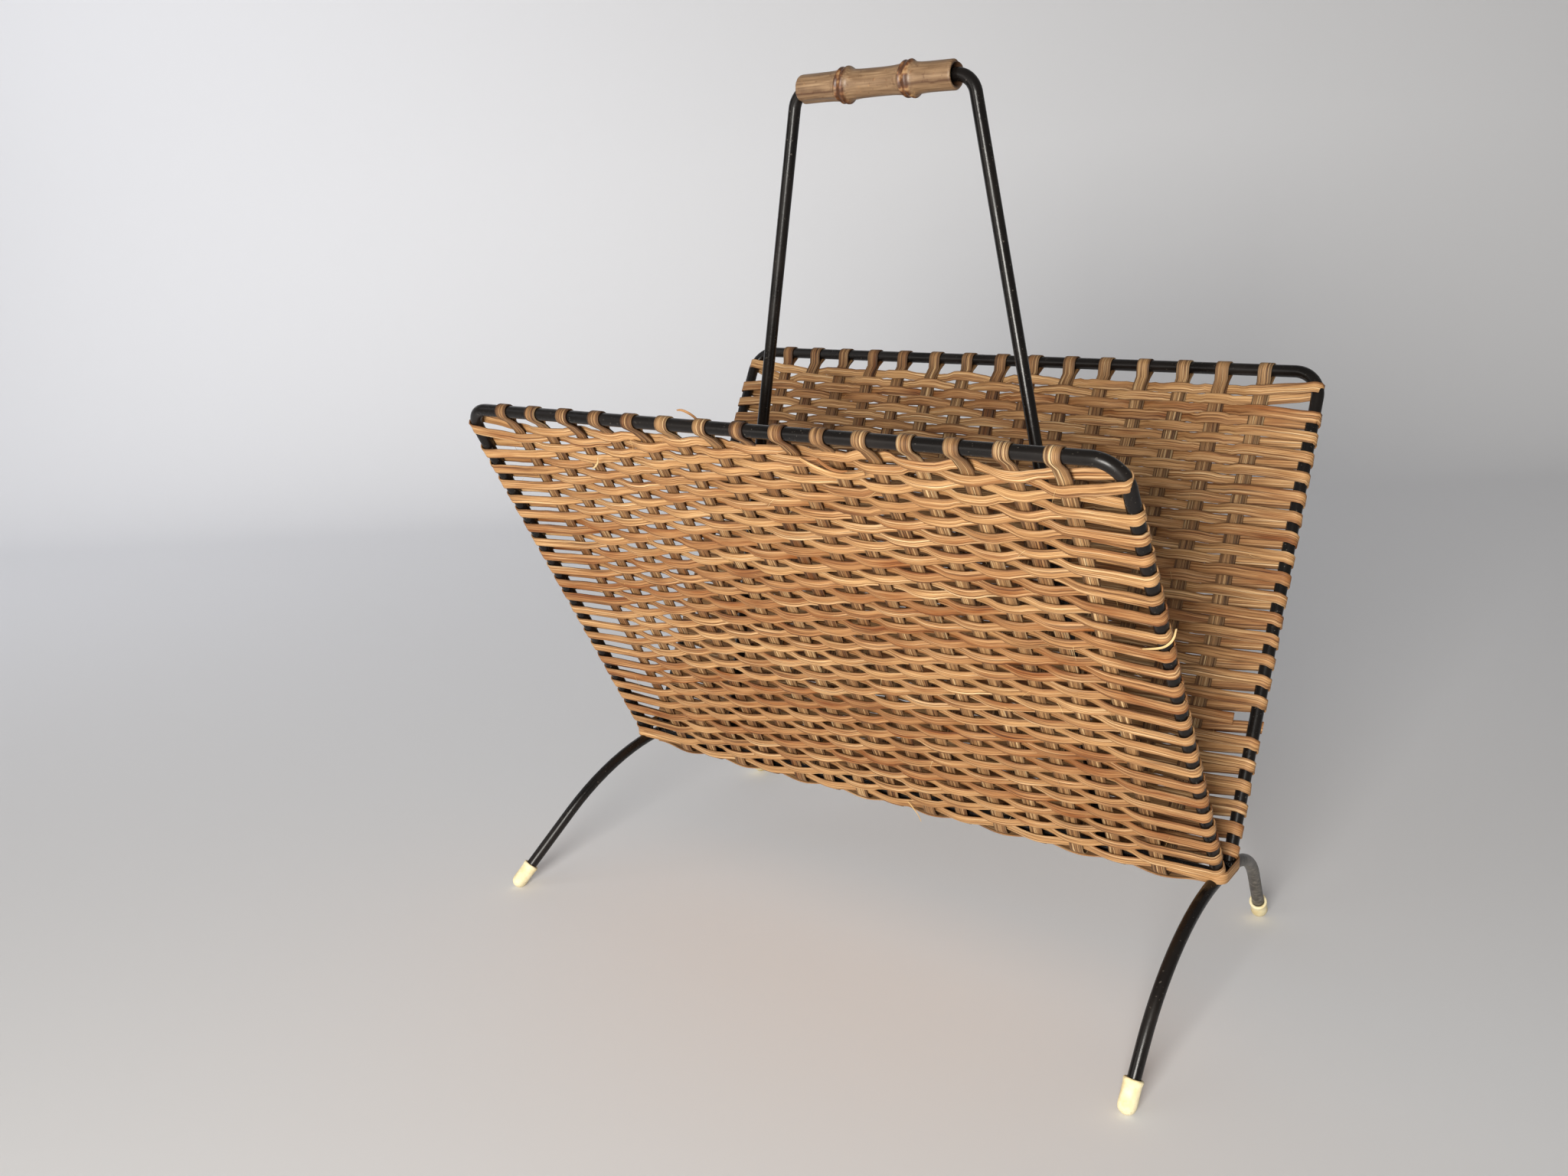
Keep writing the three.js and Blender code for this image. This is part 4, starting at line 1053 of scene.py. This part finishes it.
def weave_tree():
    """Stacks loops of weaver up a panel, fits their turns to the side rods and sweeps them."""
    lengths = (
        "Pitch", "Low", "BrokenPair", "BreakFrom", "BreakOut", "Width", "Thickness", "Crossing", "Swing",
        "LastStake", "SideRod", "FootRod", "TopRod", "FootUp", "TopUp", "CornerRadius", "Lift", "TopLift",
        "TopBow", "Belly", "Twist", "Wobble",
    )
    sizes = dict.fromkeys(lengths, "Float")
    tree, given = new_tree("woven_panel", Pairs="Int", Seed="Int", Material="Material", **sizes)
    step = add_node(tree, "ShaderNodeCombineXYZ", {"Z": given["Pitch"]})
    column = add_node(tree, "GeometryNodeMeshLine", {"Count": given["Pairs"], "Offset": step})
    copies = add_node(
        tree, "GeometryNodeInstanceOnPoints", {"Points": column, "Instance": given["Geometry"]}
    )
    loops = add_node(tree, "GeometryNodeRealizeInstances", {"Geometry": copies})
    place = add_node(tree, "GeometryNodeInputPosition")
    parts = add_node(tree, "ShaderNodeSeparateXYZ", {"Vector": place})
    x, y, z = parts.outputs
    above_low = add_node(tree, "ShaderNodeMath", {0: z, 1: given["Low"]}, operation="SUBTRACT")
    share_up = add_node(tree, "ShaderNodeMath", {0: above_low, 1: given["Pitch"]}, operation="DIVIDE")
    pair = add_node(tree, "ShaderNodeMath", {0: share_up}, operation="FLOOR")
    marks = {"Geometry": loops, "Name": "pair", "Value": pair}
    counted = add_node(tree, "GeometryNodeStoreNamedAttribute", marks)

    # One pair has lost the inner half of its turn round the side rod.
    index = add_node(tree, "GeometryNodeInputNamedAttribute", {"Name": "pair"}, data_type="FLOAT")
    this_pair = add_node(
        tree, "ShaderNodeMath", {0: index, 1: given["BrokenPair"], 2: 0.5}, operation="COMPARE"
    )
    at_turn = add_node(tree, "ShaderNodeMath", {0: x, 1: given["BreakFrom"]}, operation="GREATER_THAN")
    inside = add_node(tree, "ShaderNodeMath", {0: y, 1: given["BreakOut"]}, operation="LESS_THAN")
    inner_turn = add_node(tree, "ShaderNodeMath", {0: at_turn, 1: inside}, operation="MULTIPLY")
    lost = add_node(tree, "ShaderNodeMath", {0: this_pair, 1: inner_turn}, operation="MULTIPLY")
    kept = add_node(
        tree, "GeometryNodeDeleteGeometry", {"Geometry": counted, "Selection": lost}, domain="POINT"
    )
    strips = add_node(tree, "GeometryNodeMeshToCurve", {"Mesh": kept})

    # How far a point is from the last stake, at 0, to the side rod, at 1
    distance = add_node(tree, "ShaderNodeMath", {0: x}, operation="ABSOLUTE")
    side = add_node(tree, "ShaderNodeMath", {0: x}, operation="SIGN")
    stake_to_rod = {"Value": distance, "From Min": given["LastStake"], "From Max": given["SideRod"]}
    reach = add_node(tree, "ShaderNodeMapRange", stake_to_rod)

    # The lowest turns ride up over the leg's crest, and the top one into the hoop's corner.
    last_pair = add_node(tree, "ShaderNodeMath", {0: given["Pairs"], 1: 1.0}, operation="SUBTRACT")
    level = add_node(tree, "ShaderNodeMath", {0: index, 1: last_pair}, operation="DIVIDE")
    left_over = add_node(tree, "ShaderNodeMath", {0: 1.0, 1: level}, operation="SUBTRACT")
    lifted = add_node(tree, "ShaderNodeMath", {0: left_over, 1: given["Lift"]}, operation="MULTIPLY")
    top_lift = add_node(
        tree, "ShaderNodeMapRange", {"Value": level, "From Min": CORNER_START, "To Max": given["TopLift"]}
    )
    both_lifts = add_node(tree, "ShaderNodeMath", {0: lifted, 1: top_lift}, operation="ADD")
    lift = add_node(tree, "ShaderNodeMath", {0: both_lifts, 1: reach}, operation="MULTIPLY")
    up = add_node(tree, "ShaderNodeMath", {0: z, 1: lift}, operation="ADD")

    # The side rod's place at this height, on its slope and then in its corner bend
    ups = {"From Min": given["FootUp"], "From Max": given["TopUp"]}
    rods = {"To Min": given["FootRod"], "To Max": given["TopRod"]}
    slope = add_node(tree, "ShaderNodeMapRange", {"Value": up, **ups, **rods})
    corner = given["CornerRadius"]
    bend_start = add_node(tree, "ShaderNodeMath", {0: given["TopUp"], 1: corner}, operation="SUBTRACT")
    past = add_node(tree, "ShaderNodeMath", {0: up, 1: bend_start}, operation="SUBTRACT")
    into = add_node(tree, "ShaderNodeMath", {0: past, 1: 0.0}, operation="MAXIMUM")
    into_squared = add_node(tree, "ShaderNodeMath", {0: into, 1: into}, operation="MULTIPLY")
    corner_squared = add_node(tree, "ShaderNodeMath", {0: corner, 1: corner}, operation="MULTIPLY")
    rest = add_node(tree, "ShaderNodeMath", {0: corner_squared, 1: into_squared}, operation="SUBTRACT")
    chord = add_node(tree, "ShaderNodeMath", {0: rest}, operation="SQRT")
    inward = add_node(tree, "ShaderNodeMath", {0: corner, 1: chord}, operation="SUBTRACT")
    rod = add_node(tree, "ShaderNodeMath", {0: slope, 1: inward}, operation="SUBTRACT")
    rod_shift = add_node(tree, "ShaderNodeMath", {0: rod, 1: given["SideRod"]}, operation="SUBTRACT")
    sideways = add_node(tree, "ShaderNodeMath", {0: rod_shift, 1: side}, operation="MULTIPLY")
    shift_x = add_node(tree, "ShaderNodeMath", {0: sideways, 1: reach}, operation="MULTIPLY")

    # Every row waves a little, and the slack rows under the top rod wave more.
    drifting = {0: place, 1: SLOW_WAVES, 2: given["Seed"]}
    drift = add_node(tree, "ShaderNodeVectorMath", drifting, operation="MULTIPLY_ADD")
    slow = add_node(tree, "ShaderNodeTexNoise", {"Vector": drift, "Scale": 1.0, "Detail": 1.0})
    own = add_node(tree, "ShaderNodeVectorMath", {0: place, 1: QUICK_WAVES}, operation="MULTIPLY")
    quick = add_node(tree, "ShaderNodeTexNoise", {"Vector": own, "Scale": 1.0, "Detail": 1.0})
    slow_wave = add_node(tree, "ShaderNodeMath", {0: slow, 1: 0.5}, operation="SUBTRACT")
    quick_wave = add_node(tree, "ShaderNodeMath", {0: quick, 1: 0.5}, operation="SUBTRACT")
    both = add_node(
        tree, "ShaderNodeMath", {0: slow_wave, 1: SLOW_SHARE, 2: quick_wave}, operation="MULTIPLY_ADD"
    )
    slack = add_node(
        tree,
        "ShaderNodeMapRange",
        {"Value": level, "From Min": SLACK_START, "To Min": 1.0, "To Max": LOOSEST},
    )
    loose = add_node(tree, "ShaderNodeMath", {0: both, 1: slack}, operation="MULTIPLY")
    wave = add_node(
        tree, "ShaderNodeMath", {0: loose, 1: given["Wobble"], 2: lift}, operation="MULTIPLY_ADD"
    )
    bow = inward_bow(tree, given, z, x, given["Belly"])
    shift_y = add_node(tree, "ShaderNodeMath", {0: bow, 1: -1.0}, operation="MULTIPLY")
    offset = add_node(tree, "ShaderNodeCombineXYZ", {"X": shift_x, "Y": shift_y, "Z": wave})
    swing = add_node(tree, "ShaderNodeMath", {0: y}, operation="ABSOLUTE")
    filling = {"Value": swing, "From Max": given["Swing"], "To Min": given["Crossing"]}
    fullness = add_node(tree, "ShaderNodeMapRange", filling)
    uneven = add_node(
        tree, "FunctionNodeRandomValue", {2: 0.93, 3: 1.05, "ID": index, "Seed": given["Seed"]}
    )
    scale = add_node(tree, "ShaderNodeMath", {0: fullness, 1: uneven}, operation="MULTIPLY")
    marks = {"Geometry": strips, "Name": "strip_scale", "Value": scale}
    scaled_width = add_node(tree, "GeometryNodeStoreNamedAttribute", marks)
    fitted = add_node(tree, "GeometryNodeSetPosition", {"Geometry": scaled_width, "Offset": offset})

    # A strip lies at its full width over a stake, is pinched where it crosses its neighbours, and
    # is twisted a little all along.
    turned = add_node(tree, "GeometryNodeSetCurveNormal", {"Curve": fitted}, mode="Z_UP")
    torn = add_node(tree, "ShaderNodeVectorMath", {0: place, 1: TWIST_WAVES}, operation="MULTIPLY")
    uneasy = add_node(tree, "ShaderNodeTexNoise", {"Vector": torn, "Scale": 1.0, "Detail": 1.0})
    centred = add_node(tree, "ShaderNodeMath", {0: uneasy, 1: 0.5}, operation="SUBTRACT")
    twist = add_node(tree, "ShaderNodeMath", {0: centred, 1: given["Twist"]}, operation="MULTIPLY")
    twisted = add_node(tree, "GeometryNodeSetCurveTilt", {"Curve": turned, "Tilt": twist})
    marked = marked_strips(tree, twisted, index, given["Seed"])
    section = strip_section(tree, given)
    own_scale = add_node(
        tree, "GeometryNodeInputNamedAttribute", {"Name": "strip_scale"}, data_type="FLOAT"
    )
    sweeping = {"Curve": marked, "Profile Curve": section, "Scale": own_scale, "Fill Caps": True}
    swept = add_node(tree, "GeometryNodeCurveToMesh", sweeping)
    end_tree(tree, swept, given["Material"])
    return tree


weaver_cane = cane_material(
    "weaver_flat_cane", ("#5E3B1F", "#AA7F50", "#CEA26E", "#F4D6A8"), "#B48A5E", "#4E2E18", 1.1, 0.45, 5
)
woven_panel = weave_tree()
BROKEN_PAIR = 6
NO_PAIR = -1
panels = (
    (1, "rear_weave", REAR_WEAVER_WIDTH, REAR_BELLY, BROKEN_PAIR, 21),
    (-1, "front_weave", FRONT_WEAVER_WIDTH, FRONT_BELLY, NO_PAIR, 8),
)
for way, weave_name, width, belly, broken_pair, seed in panels:
    weave_sizes = {
        "Pairs": ROW_COUNT // 2, "Pitch": 2 * ROW_PITCH, "Low": WEAVE_LOW, "BrokenPair": broken_pair,
        "BreakFrom": SIDE_ROD - BREAK_INSET, "BreakOut": BREAK_OUT, "Width": width,
        "Thickness": WEAVER_THICKNESS, "Crossing": CROSSING_SHARE, "Swing": SWING, "LastStake": LAST_STAKE,
        "SideRod": SIDE_ROD, "FootRod": HOOP_FOOT_LENGTH / 2, "TopRod": HOOP_TOP_LENGTH / 2,
        "FootUp": HOOP_FOOT_UP, "TopUp": PANEL_LENGTH, "CornerRadius": HOOP_CORNER_RADIUS + ROD_RADIUS,
        "Lift": LOWEST_TURN - WEAVE_LOW - ROW_PITCH, "TopLift": TOP_TURN_LIFT, "TopBow": TOP_BOW,
        "Belly": belly, "Twist": WEAVER_TWIST, "Wobble": WEAVER_WOBBLE, "Seed": seed, "Material": weaver_cane,
    }
    lowest_pair = Matrix.Translation((0, 0, WEAVE_LOW + ROW_PITCH))
    source = path_object(weave_name, [[lowest_pair @ point for point in weaver_path()]])
    mesh = grow(source, woven_panel, **weave_sizes)
    place_piece("cane_" + weave_name, mesh, "weaver_cane", weave_name, turned=panel_matrix(way))

# The bottom rows and the corner bands
# Under the fold three more rows pass over and under the stakes. The outer two are one strip, which
# goes round both hoops' feet at either end and so ties the two panels together.
fold_half = FOLD_RADIUS * (math.pi / 2 - PANEL_LEAN)
BOTTOM_SPACING = fold_half + WEAVE_LOW - ROW_PITCH / 2
OVER_STAKES = LAYER_OFFSET + LAYER_THICKNESS / 2 + FOLD_SLACK + WEAVER_THICKNESS / 2
UNDER_STAKES = ROD_RADIUS + WEAVER_THICKNESS / 2 - FOLD_RADIUS
BAND_HEIGHT = 84.6
BAND_RADIUS = 5.2
BAND_START = math.radians(-105)
BAND_STEPS = 7
BOTTOM_STEP = 3
MIDDLE_ROW_INSET = 1


def round_fold(distance, out):
    """A point outside the fold, so far from its lowest line along it, and the way that it faces."""
    way = 1 if distance > 0 else -1
    if abs(distance) <= fold_half:
        turn = -math.pi / 2 + distance / FOLD_RADIUS
        facing = Vector((0, math.cos(turn), math.sin(turn)))
        return Vector((0, 0, CREST_HEIGHT)) + facing * (FOLD_RADIUS + out), facing
    facing = Vector((0, way * math.cos(PANEL_LEAN), -math.sin(PANEL_LEAN)))
    return beside_panel(out, abs(distance) - fold_half, way), facing


def laid_strips(paths):
    """Strips as an object of bare edges. Each point comes with the way it faces and a share of full width."""
    source = path_object("strips", [[point for point, facing, share in path] for path in paths])
    attributes = source.data.attributes
    attributes.new("facing", "FLOAT_VECTOR", "POINT")
    attributes.new("width_share", "FLOAT", "POINT")
    stations = [station for path in paths for station in path]
    attributes["facing"].data.foreach_set("vector", [value for station in stations for value in station[1]])
    attributes["width_share"].data.foreach_set("value", [station[2] for station in stations])
    return source


def laid_tree():
    """Sweeps flat strips along paths that say which way they face and how wide they are."""
    tree, given = new_tree("laid_strips", Width="Float", Thickness="Float", Seed="Int", Material="Material")
    curve = add_node(tree, "GeometryNodeMeshToCurve", {"Mesh": given["Geometry"]})
    facing = add_node(tree, "GeometryNodeInputNamedAttribute", {"Name": "facing"}, data_type="FLOAT_VECTOR")
    turned = add_node(tree, "GeometryNodeSetCurveNormal", {"Curve": curve, "Normal": facing}, mode="FREE")
    count = add_node(tree, "GeometryNodeInputIndex")
    index = add_node(tree, "GeometryNodeFieldOnDomain", {0: count}, domain="CURVE", data_type="INT")
    marked = marked_strips(tree, turned, index, given["Seed"])
    section = strip_section(tree, given)
    share = add_node(tree, "GeometryNodeInputNamedAttribute", {"Name": "width_share"}, data_type="FLOAT")
    sweeping = {"Curve": marked, "Profile Curve": section, "Scale": share, "Fill Caps": True}
    swept = add_node(tree, "GeometryNodeCurveToMesh", sweeping)
    end_tree(tree, swept, given["Material"])
    return tree


def bottom_row(distance, parity, half_length):
    """A row under the fold, over every second stake and under the others."""
    stations = []
    count = round(2 * half_length / BOTTOM_STEP)
    for i in range(count + 1):
        x = -half_length + 2 * half_length * i / count
        wave = parity * math.cos(math.pi * (LAST_STAKE - x) / STAKE_PITCH)
        out = UNDER_STAKES + (OVER_STAKES - UNDER_STAKES) * (wave + 1) / 2
        point, facing = round_fold(distance, out)
        stations.append((point + along * x, facing, 1))
    return stations


def corner_band():
    """The outer rows' strip on its way round both hoops' feet at the right, from the front to the rear."""
    rise = BAND_HEIGHT - CREST_HEIGHT + FOLD_RADIUS * math.sin(PANEL_LEAN)
    foot = beside_panel(0, rise / math.cos(PANEL_LEAN), -1)
    foot = Vector((HOOP_FOOT_LENGTH / 2, foot.y, BAND_HEIGHT))
    front = []
    for i in range(BAND_STEPS + 1):
        turn = BAND_START * (1 - i / BAND_STEPS)
        facing = Vector((math.cos(turn), math.sin(turn), 0))
        front.append((foot + facing * BAND_RADIUS, facing, 1))
    across_basket = Vector((1, -1, 1))
    return front + [(p * across_basket, f * across_basket, share) for p, f, share in front[::-1]]


def turned_about(stations):
    """The same strip at the basket's other end, so that it goes on from the first."""
    half_turn = Vector((-1, -1, 1))
    return [(p * half_turn, f * half_turn, share) for p, f, share in stations]


front_row = bottom_row(-BOTTOM_SPACING, -1, LAST_STAKE)
middle_row = bottom_row(0, 1, rail_half - MIDDLE_ROW_INSET)
outer_strip = front_row + corner_band() + turned_about(front_row) + turned_about(corner_band())
outer_strip.append(outer_strip[0])
row_sizes = {"Width": REAR_WEAVER_WIDTH, "Thickness": WEAVER_THICKNESS, "Seed": 2, "Material": weaver_cane}
mesh = grow(laid_strips([outer_strip, middle_row]), laid_tree(), **row_sizes)
place_piece("cane_bottom_rows", mesh, "weaver_cane", "bottom_weave")


# The frayed places
# Old cane splits and lets go. A splinter stands off a turn at the right, a thin end curls up over
# the front rod, slack strands hang under it, and fine hairs stand off all the weave.
def eased(corners):
    """Cuts the corners of a path of (x, out, up, share of width) twice, so that it runs smoothly."""
    for i in range(2):
        cut = [corners[0]]
        for a, b in zip(corners, corners[1:]):
            cut.append(tuple(0.75 * p + 0.25 * q for p, q in zip(a, b)))
            cut.append(tuple(0.25 * p + 0.75 * q for p, q in zip(a, b)))
        corners = cut + [corners[-1]]
    return corners


def stray(way, corners):
    """A loose strand beside a panel, flat to it."""
    facing = Vector((0, way * math.cos(PANEL_LEAN), -math.sin(PANEL_LEAN)))
    return [(beside_panel(out, up, way) + along * x, facing, share) for x, out, up, share in eased(corners)]


SPLINTER_WIDTH = 1.1
STRAND_WIDTH = 1.8
STRAND_THICKNESS = 0.5
splinter = [
    (207.5, -1, 190, 0.7), (207.5, 3.5, 187.5, 1), (204, 6, 184.5, 1), (199, 6.6, 183, 1),
    (193.5, 7.4, 182.5, 0.4),
]
frayed_bit = [(-120, 0.5, 250, 0.6), (-115, 2.2, 253, 0.9), (-110, 3, 257, 0.7), (-107, 3.6, 261.5, 0.3)]
bottom_fray = [(12, 3, 6, 0.6), (15, 4, 3, 0.7), (19, 6, -1, 0.5), (21, 8, -4, 0.3)]
curled_end = [
    (-30, -5.5, 278, 1), (-31, -5.5, 286, 1), (-32, -3.5, 291, 1), (-36, -3, 293.5, 0.8),
    (-40, -3.5, 292.6, 0.4),
]
slack_strand = [
    (30, -1, 270, 1), (38, 0.4, 266.5, 1.5), (48, 0.8, 263, 1.8), (57, 0.4, 262.5, 1.5),
    (66, -1, 264, 1),
]
split_strand = [(40, -1.5, 270, 1), (46, 0.4, 267, 1.2), (53, 1.2, 265.8, 1), (59, 2.2, 267.6, 0.5)]
split_cane = cane_material(
    "split_cane_fibre", ("#A8814E", "#DCBC84", "#EED6A2", "#FFF2CC"), "#D8BC8C", "#8A6840", 0.4, 0.2, 17
)
torn_off = (
    ("pale_cane_splinters", (splinter, frayed_bit, bottom_fray), SPLINTER_WIDTH, split_cane),
    ("slack_cane_strands", (curled_end, slack_strand, split_strand), STRAND_WIDTH, weaver_cane),
)
for strands_name, strands, width, cane in torn_off:
    source = laid_strips([stray(-1, corners) for corners in strands])
    mesh = grow(source, laid_tree(), Width=width, Thickness=STRAND_THICKNESS, Seed=9, Material=cane)
    place_piece(strands_name, mesh, "weaver_cane", "front_weave")

# The hairs are grown on a finished panel, so their tree works in metres.
HAIRS_PER_SQUARE_METRE = 700.0
HAIR_RADIUS = 0.12 * MM
HAIR_MIDDLE = Vector((3, 0, 0.2)) * MM
HAIR_TIP = Vector((6, 1, 2.6)) * MM


def hair_tree():
    """Stands fine curved hairs on a surface here and there, each turned and sized its own way."""
    tree, given = new_tree("cane_hairs", Density="Float", Radius="Float", Seed="Int", Material="Material")
    scatter = {"Mesh": given["Geometry"], "Density": given["Density"], "Seed": given["Seed"]}
    spots = add_node(tree, "GeometryNodeDistributePointsOnFaces", scatter)
    curl = {"Resolution": 5, "Start": (0, 0, 0), "Middle": HAIR_MIDDLE, "End": HAIR_TIP}
    arch = add_node(tree, "GeometryNodeCurveQuadraticBezier", curl)
    thread = add_node(
        tree, "GeometryNodeCurvePrimitiveCircle", {"Resolution": 3, "Radius": given["Radius"]}
    )
    along_hair = add_node(tree, "GeometryNodeSplineParameter").outputs["Factor"]
    taper = add_node(tree, "ShaderNodeMapRange", {"Value": along_hair, "To Min": 1.0, "To Max": 0.35})
    sweeping = {"Curve": arch, "Profile Curve": thread, "Scale": taper, "Fill Caps": True}
    hair = add_node(tree, "GeometryNodeCurveToMesh", sweeping)
    spin = add_node(tree, "FunctionNodeRandomValue", {2: 0.0, 3: 2 * math.pi, "Seed": given["Seed"]})
    about = add_node(tree, "ShaderNodeCombineXYZ", {"Z": spin})
    turning = {"Rotation": spots.outputs["Rotation"], "Rotate By": about}
    turned = add_node(tree, "FunctionNodeRotateRotation", turning, rotation_space="LOCAL")
    size = add_node(tree, "FunctionNodeRandomValue", {2: 0.4, 3: 1.3, "Seed": given["Seed"]})
    standing = {"Points": spots.outputs["Points"], "Instance": hair, "Rotation": turned, "Scale": size}
    hairs = add_node(tree, "GeometryNodeInstanceOnPoints", standing)
    end_tree(tree, hairs, given["Material"])
    return tree


hairs = hair_tree()
to_millimetres = Matrix.Translation((-rail_middle.x, -rail_middle.y, 0)) @ Matrix.Scale(1 / MM, 4)
for seed, panel_name in enumerate(("rear_weave", "front_weave")):
    surface = bpy.data.objects.new("surface", bpy.data.objects["cane_" + panel_name].data)
    bpy.context.scene.collection.objects.link(surface)
    hair_sizes = {"Density": HAIRS_PER_SQUARE_METRE, "Radius": HAIR_RADIUS, "Seed": seed}
    mesh = grow(surface, hairs, Material=split_cane, **hair_sizes)
    mesh.transform(to_millimetres)
    place_piece("hairs_on_" + panel_name, mesh, "weaver_cane", panel_name)

# The studio
# The camera stands where the photograph was taken. The floor and the backdrop are one sheet of
# pale paper. A soft lamp in front at the right stands for the window, a weak one at the left fills
# the shadows, and a third lights the backdrop.
CAMERA_PLACE = Vector((421.47, -659.79, 442.58))
CAMERA_YAW = -0.65197
CAMERA_PITCH = 0.28241
CAMERA_ROLL = 0.04966
SENSOR_WIDTH = 36
IMAGE_WIDTH = 2048
FOCAL_PIXELS = 1789.48
camera = bpy.data.objects.new("camera", bpy.data.cameras.new("camera"))
bpy.context.scene.collection.objects.link(camera)
ahead = Vector((math.sin(CAMERA_YAW), math.cos(CAMERA_YAW), 0))
forward = ahead * math.cos(CAMERA_PITCH) - Vector((0, 0, math.sin(CAMERA_PITCH)))
level = Vector((math.cos(CAMERA_YAW), -math.sin(CAMERA_YAW), 0))
down = forward.cross(level)
right = level * math.cos(CAMERA_ROLL) + down * math.sin(CAMERA_ROLL)
down = down * math.cos(CAMERA_ROLL) - level * math.sin(CAMERA_ROLL)
camera.matrix_world = Matrix((right, -down, -forward)).transposed().to_4x4()
camera.location = (CAMERA_PLACE + rail_middle * Vector((1, 1, 0))) * MM
camera.data.sensor_width = SENSOR_WIDTH
camera.data.lens = FOCAL_PIXELS / IMAGE_WIDTH * SENSOR_WIDTH
bpy.context.scene.camera = camera

FLOOR_HALF = 8.0
WALL_DISTANCE = 1.6
WALL_HEIGHT = 5.0
SWEEP_RADIUS = 0.5
corners = [(0, -FLOOR_HALF, 0), (0, WALL_DISTANCE, 0), (0, WALL_DISTANCE, WALL_HEIGHT)]
profile = bent_path([Vector(corner) for corner in corners], SWEEP_RADIUS)
towards_wall = Matrix.Rotation(-CAMERA_YAW, 3, "Z")
floor_points = [towards_wall @ Vector((side * FLOOR_HALF, p.y, p.z)) for p in profile for side in (-1, 1)]
floor_faces = [(2 * i, 2 * i + 1, 2 * i + 3, 2 * i + 2) for i in range(len(profile) - 1)]
floor_mesh = bpy.data.meshes.new("pale_sweep")
floor_mesh.from_pydata(floor_points, [], floor_faces)
floor_mesh.shade_smooth()
pale_sweep = bpy.data.objects.new("pale_sweep", floor_mesh)
bpy.context.scene.collection.objects.link(pale_sweep)
paper, tree, shader = new_material("pale_paper")
set_inputs(shader, {"Base Color": linear("#E8E9EC"), "Roughness": 0.9})
floor_mesh.materials.append(paper)

LAMP_SPREAD = math.radians(120)
BASKET_MIDDLE = (rail_middle.x * MM, 0, 0.2)
BACKDROP_MIDDLE = (-1.55, 0.9, 0.4)


def soft_lamp(name, place, size, power, tint, target):
    """A square soft lamp that faces its target, placed in metres."""
    lamp = bpy.data.objects.new(name, bpy.data.lights.new(name, "AREA"))
    lamp.data.size = size
    lamp.data.spread = LAMP_SPREAD
    lamp.data.energy = power
    lamp.data.color = linear(tint)[:3]
    lamp.location = place
    aim = Vector(target) - lamp.location
    lamp.rotation_euler = aim.to_track_quat("-Z", "Y").to_euler()
    bpy.context.scene.collection.objects.link(lamp)


soft_lamp("window_lamp", (0.55, -1.87, 0.5), 0.7, 23, "#FFFBF4", BASKET_MIDDLE)
soft_lamp("fill_lamp", (-0.9, -1.7, 0.5), 0.9, 1.5, "#FFF8F0", BASKET_MIDDLE)
soft_lamp("backdrop_lamp", (-1.5, -0.6, 1.2), 1.2, 5.5, "#F6F8FF", BACKDROP_MIDDLE)
world = bpy.data.worlds.new("pale_room")
world.use_nodes = True
set_inputs(world.node_tree.nodes["Background"], {"Color": linear("#F8F5F0"), "Strength": 0.25})
bpy.context.scene.world = world
bpy.context.scene.view_settings.view_transform = "Standard"
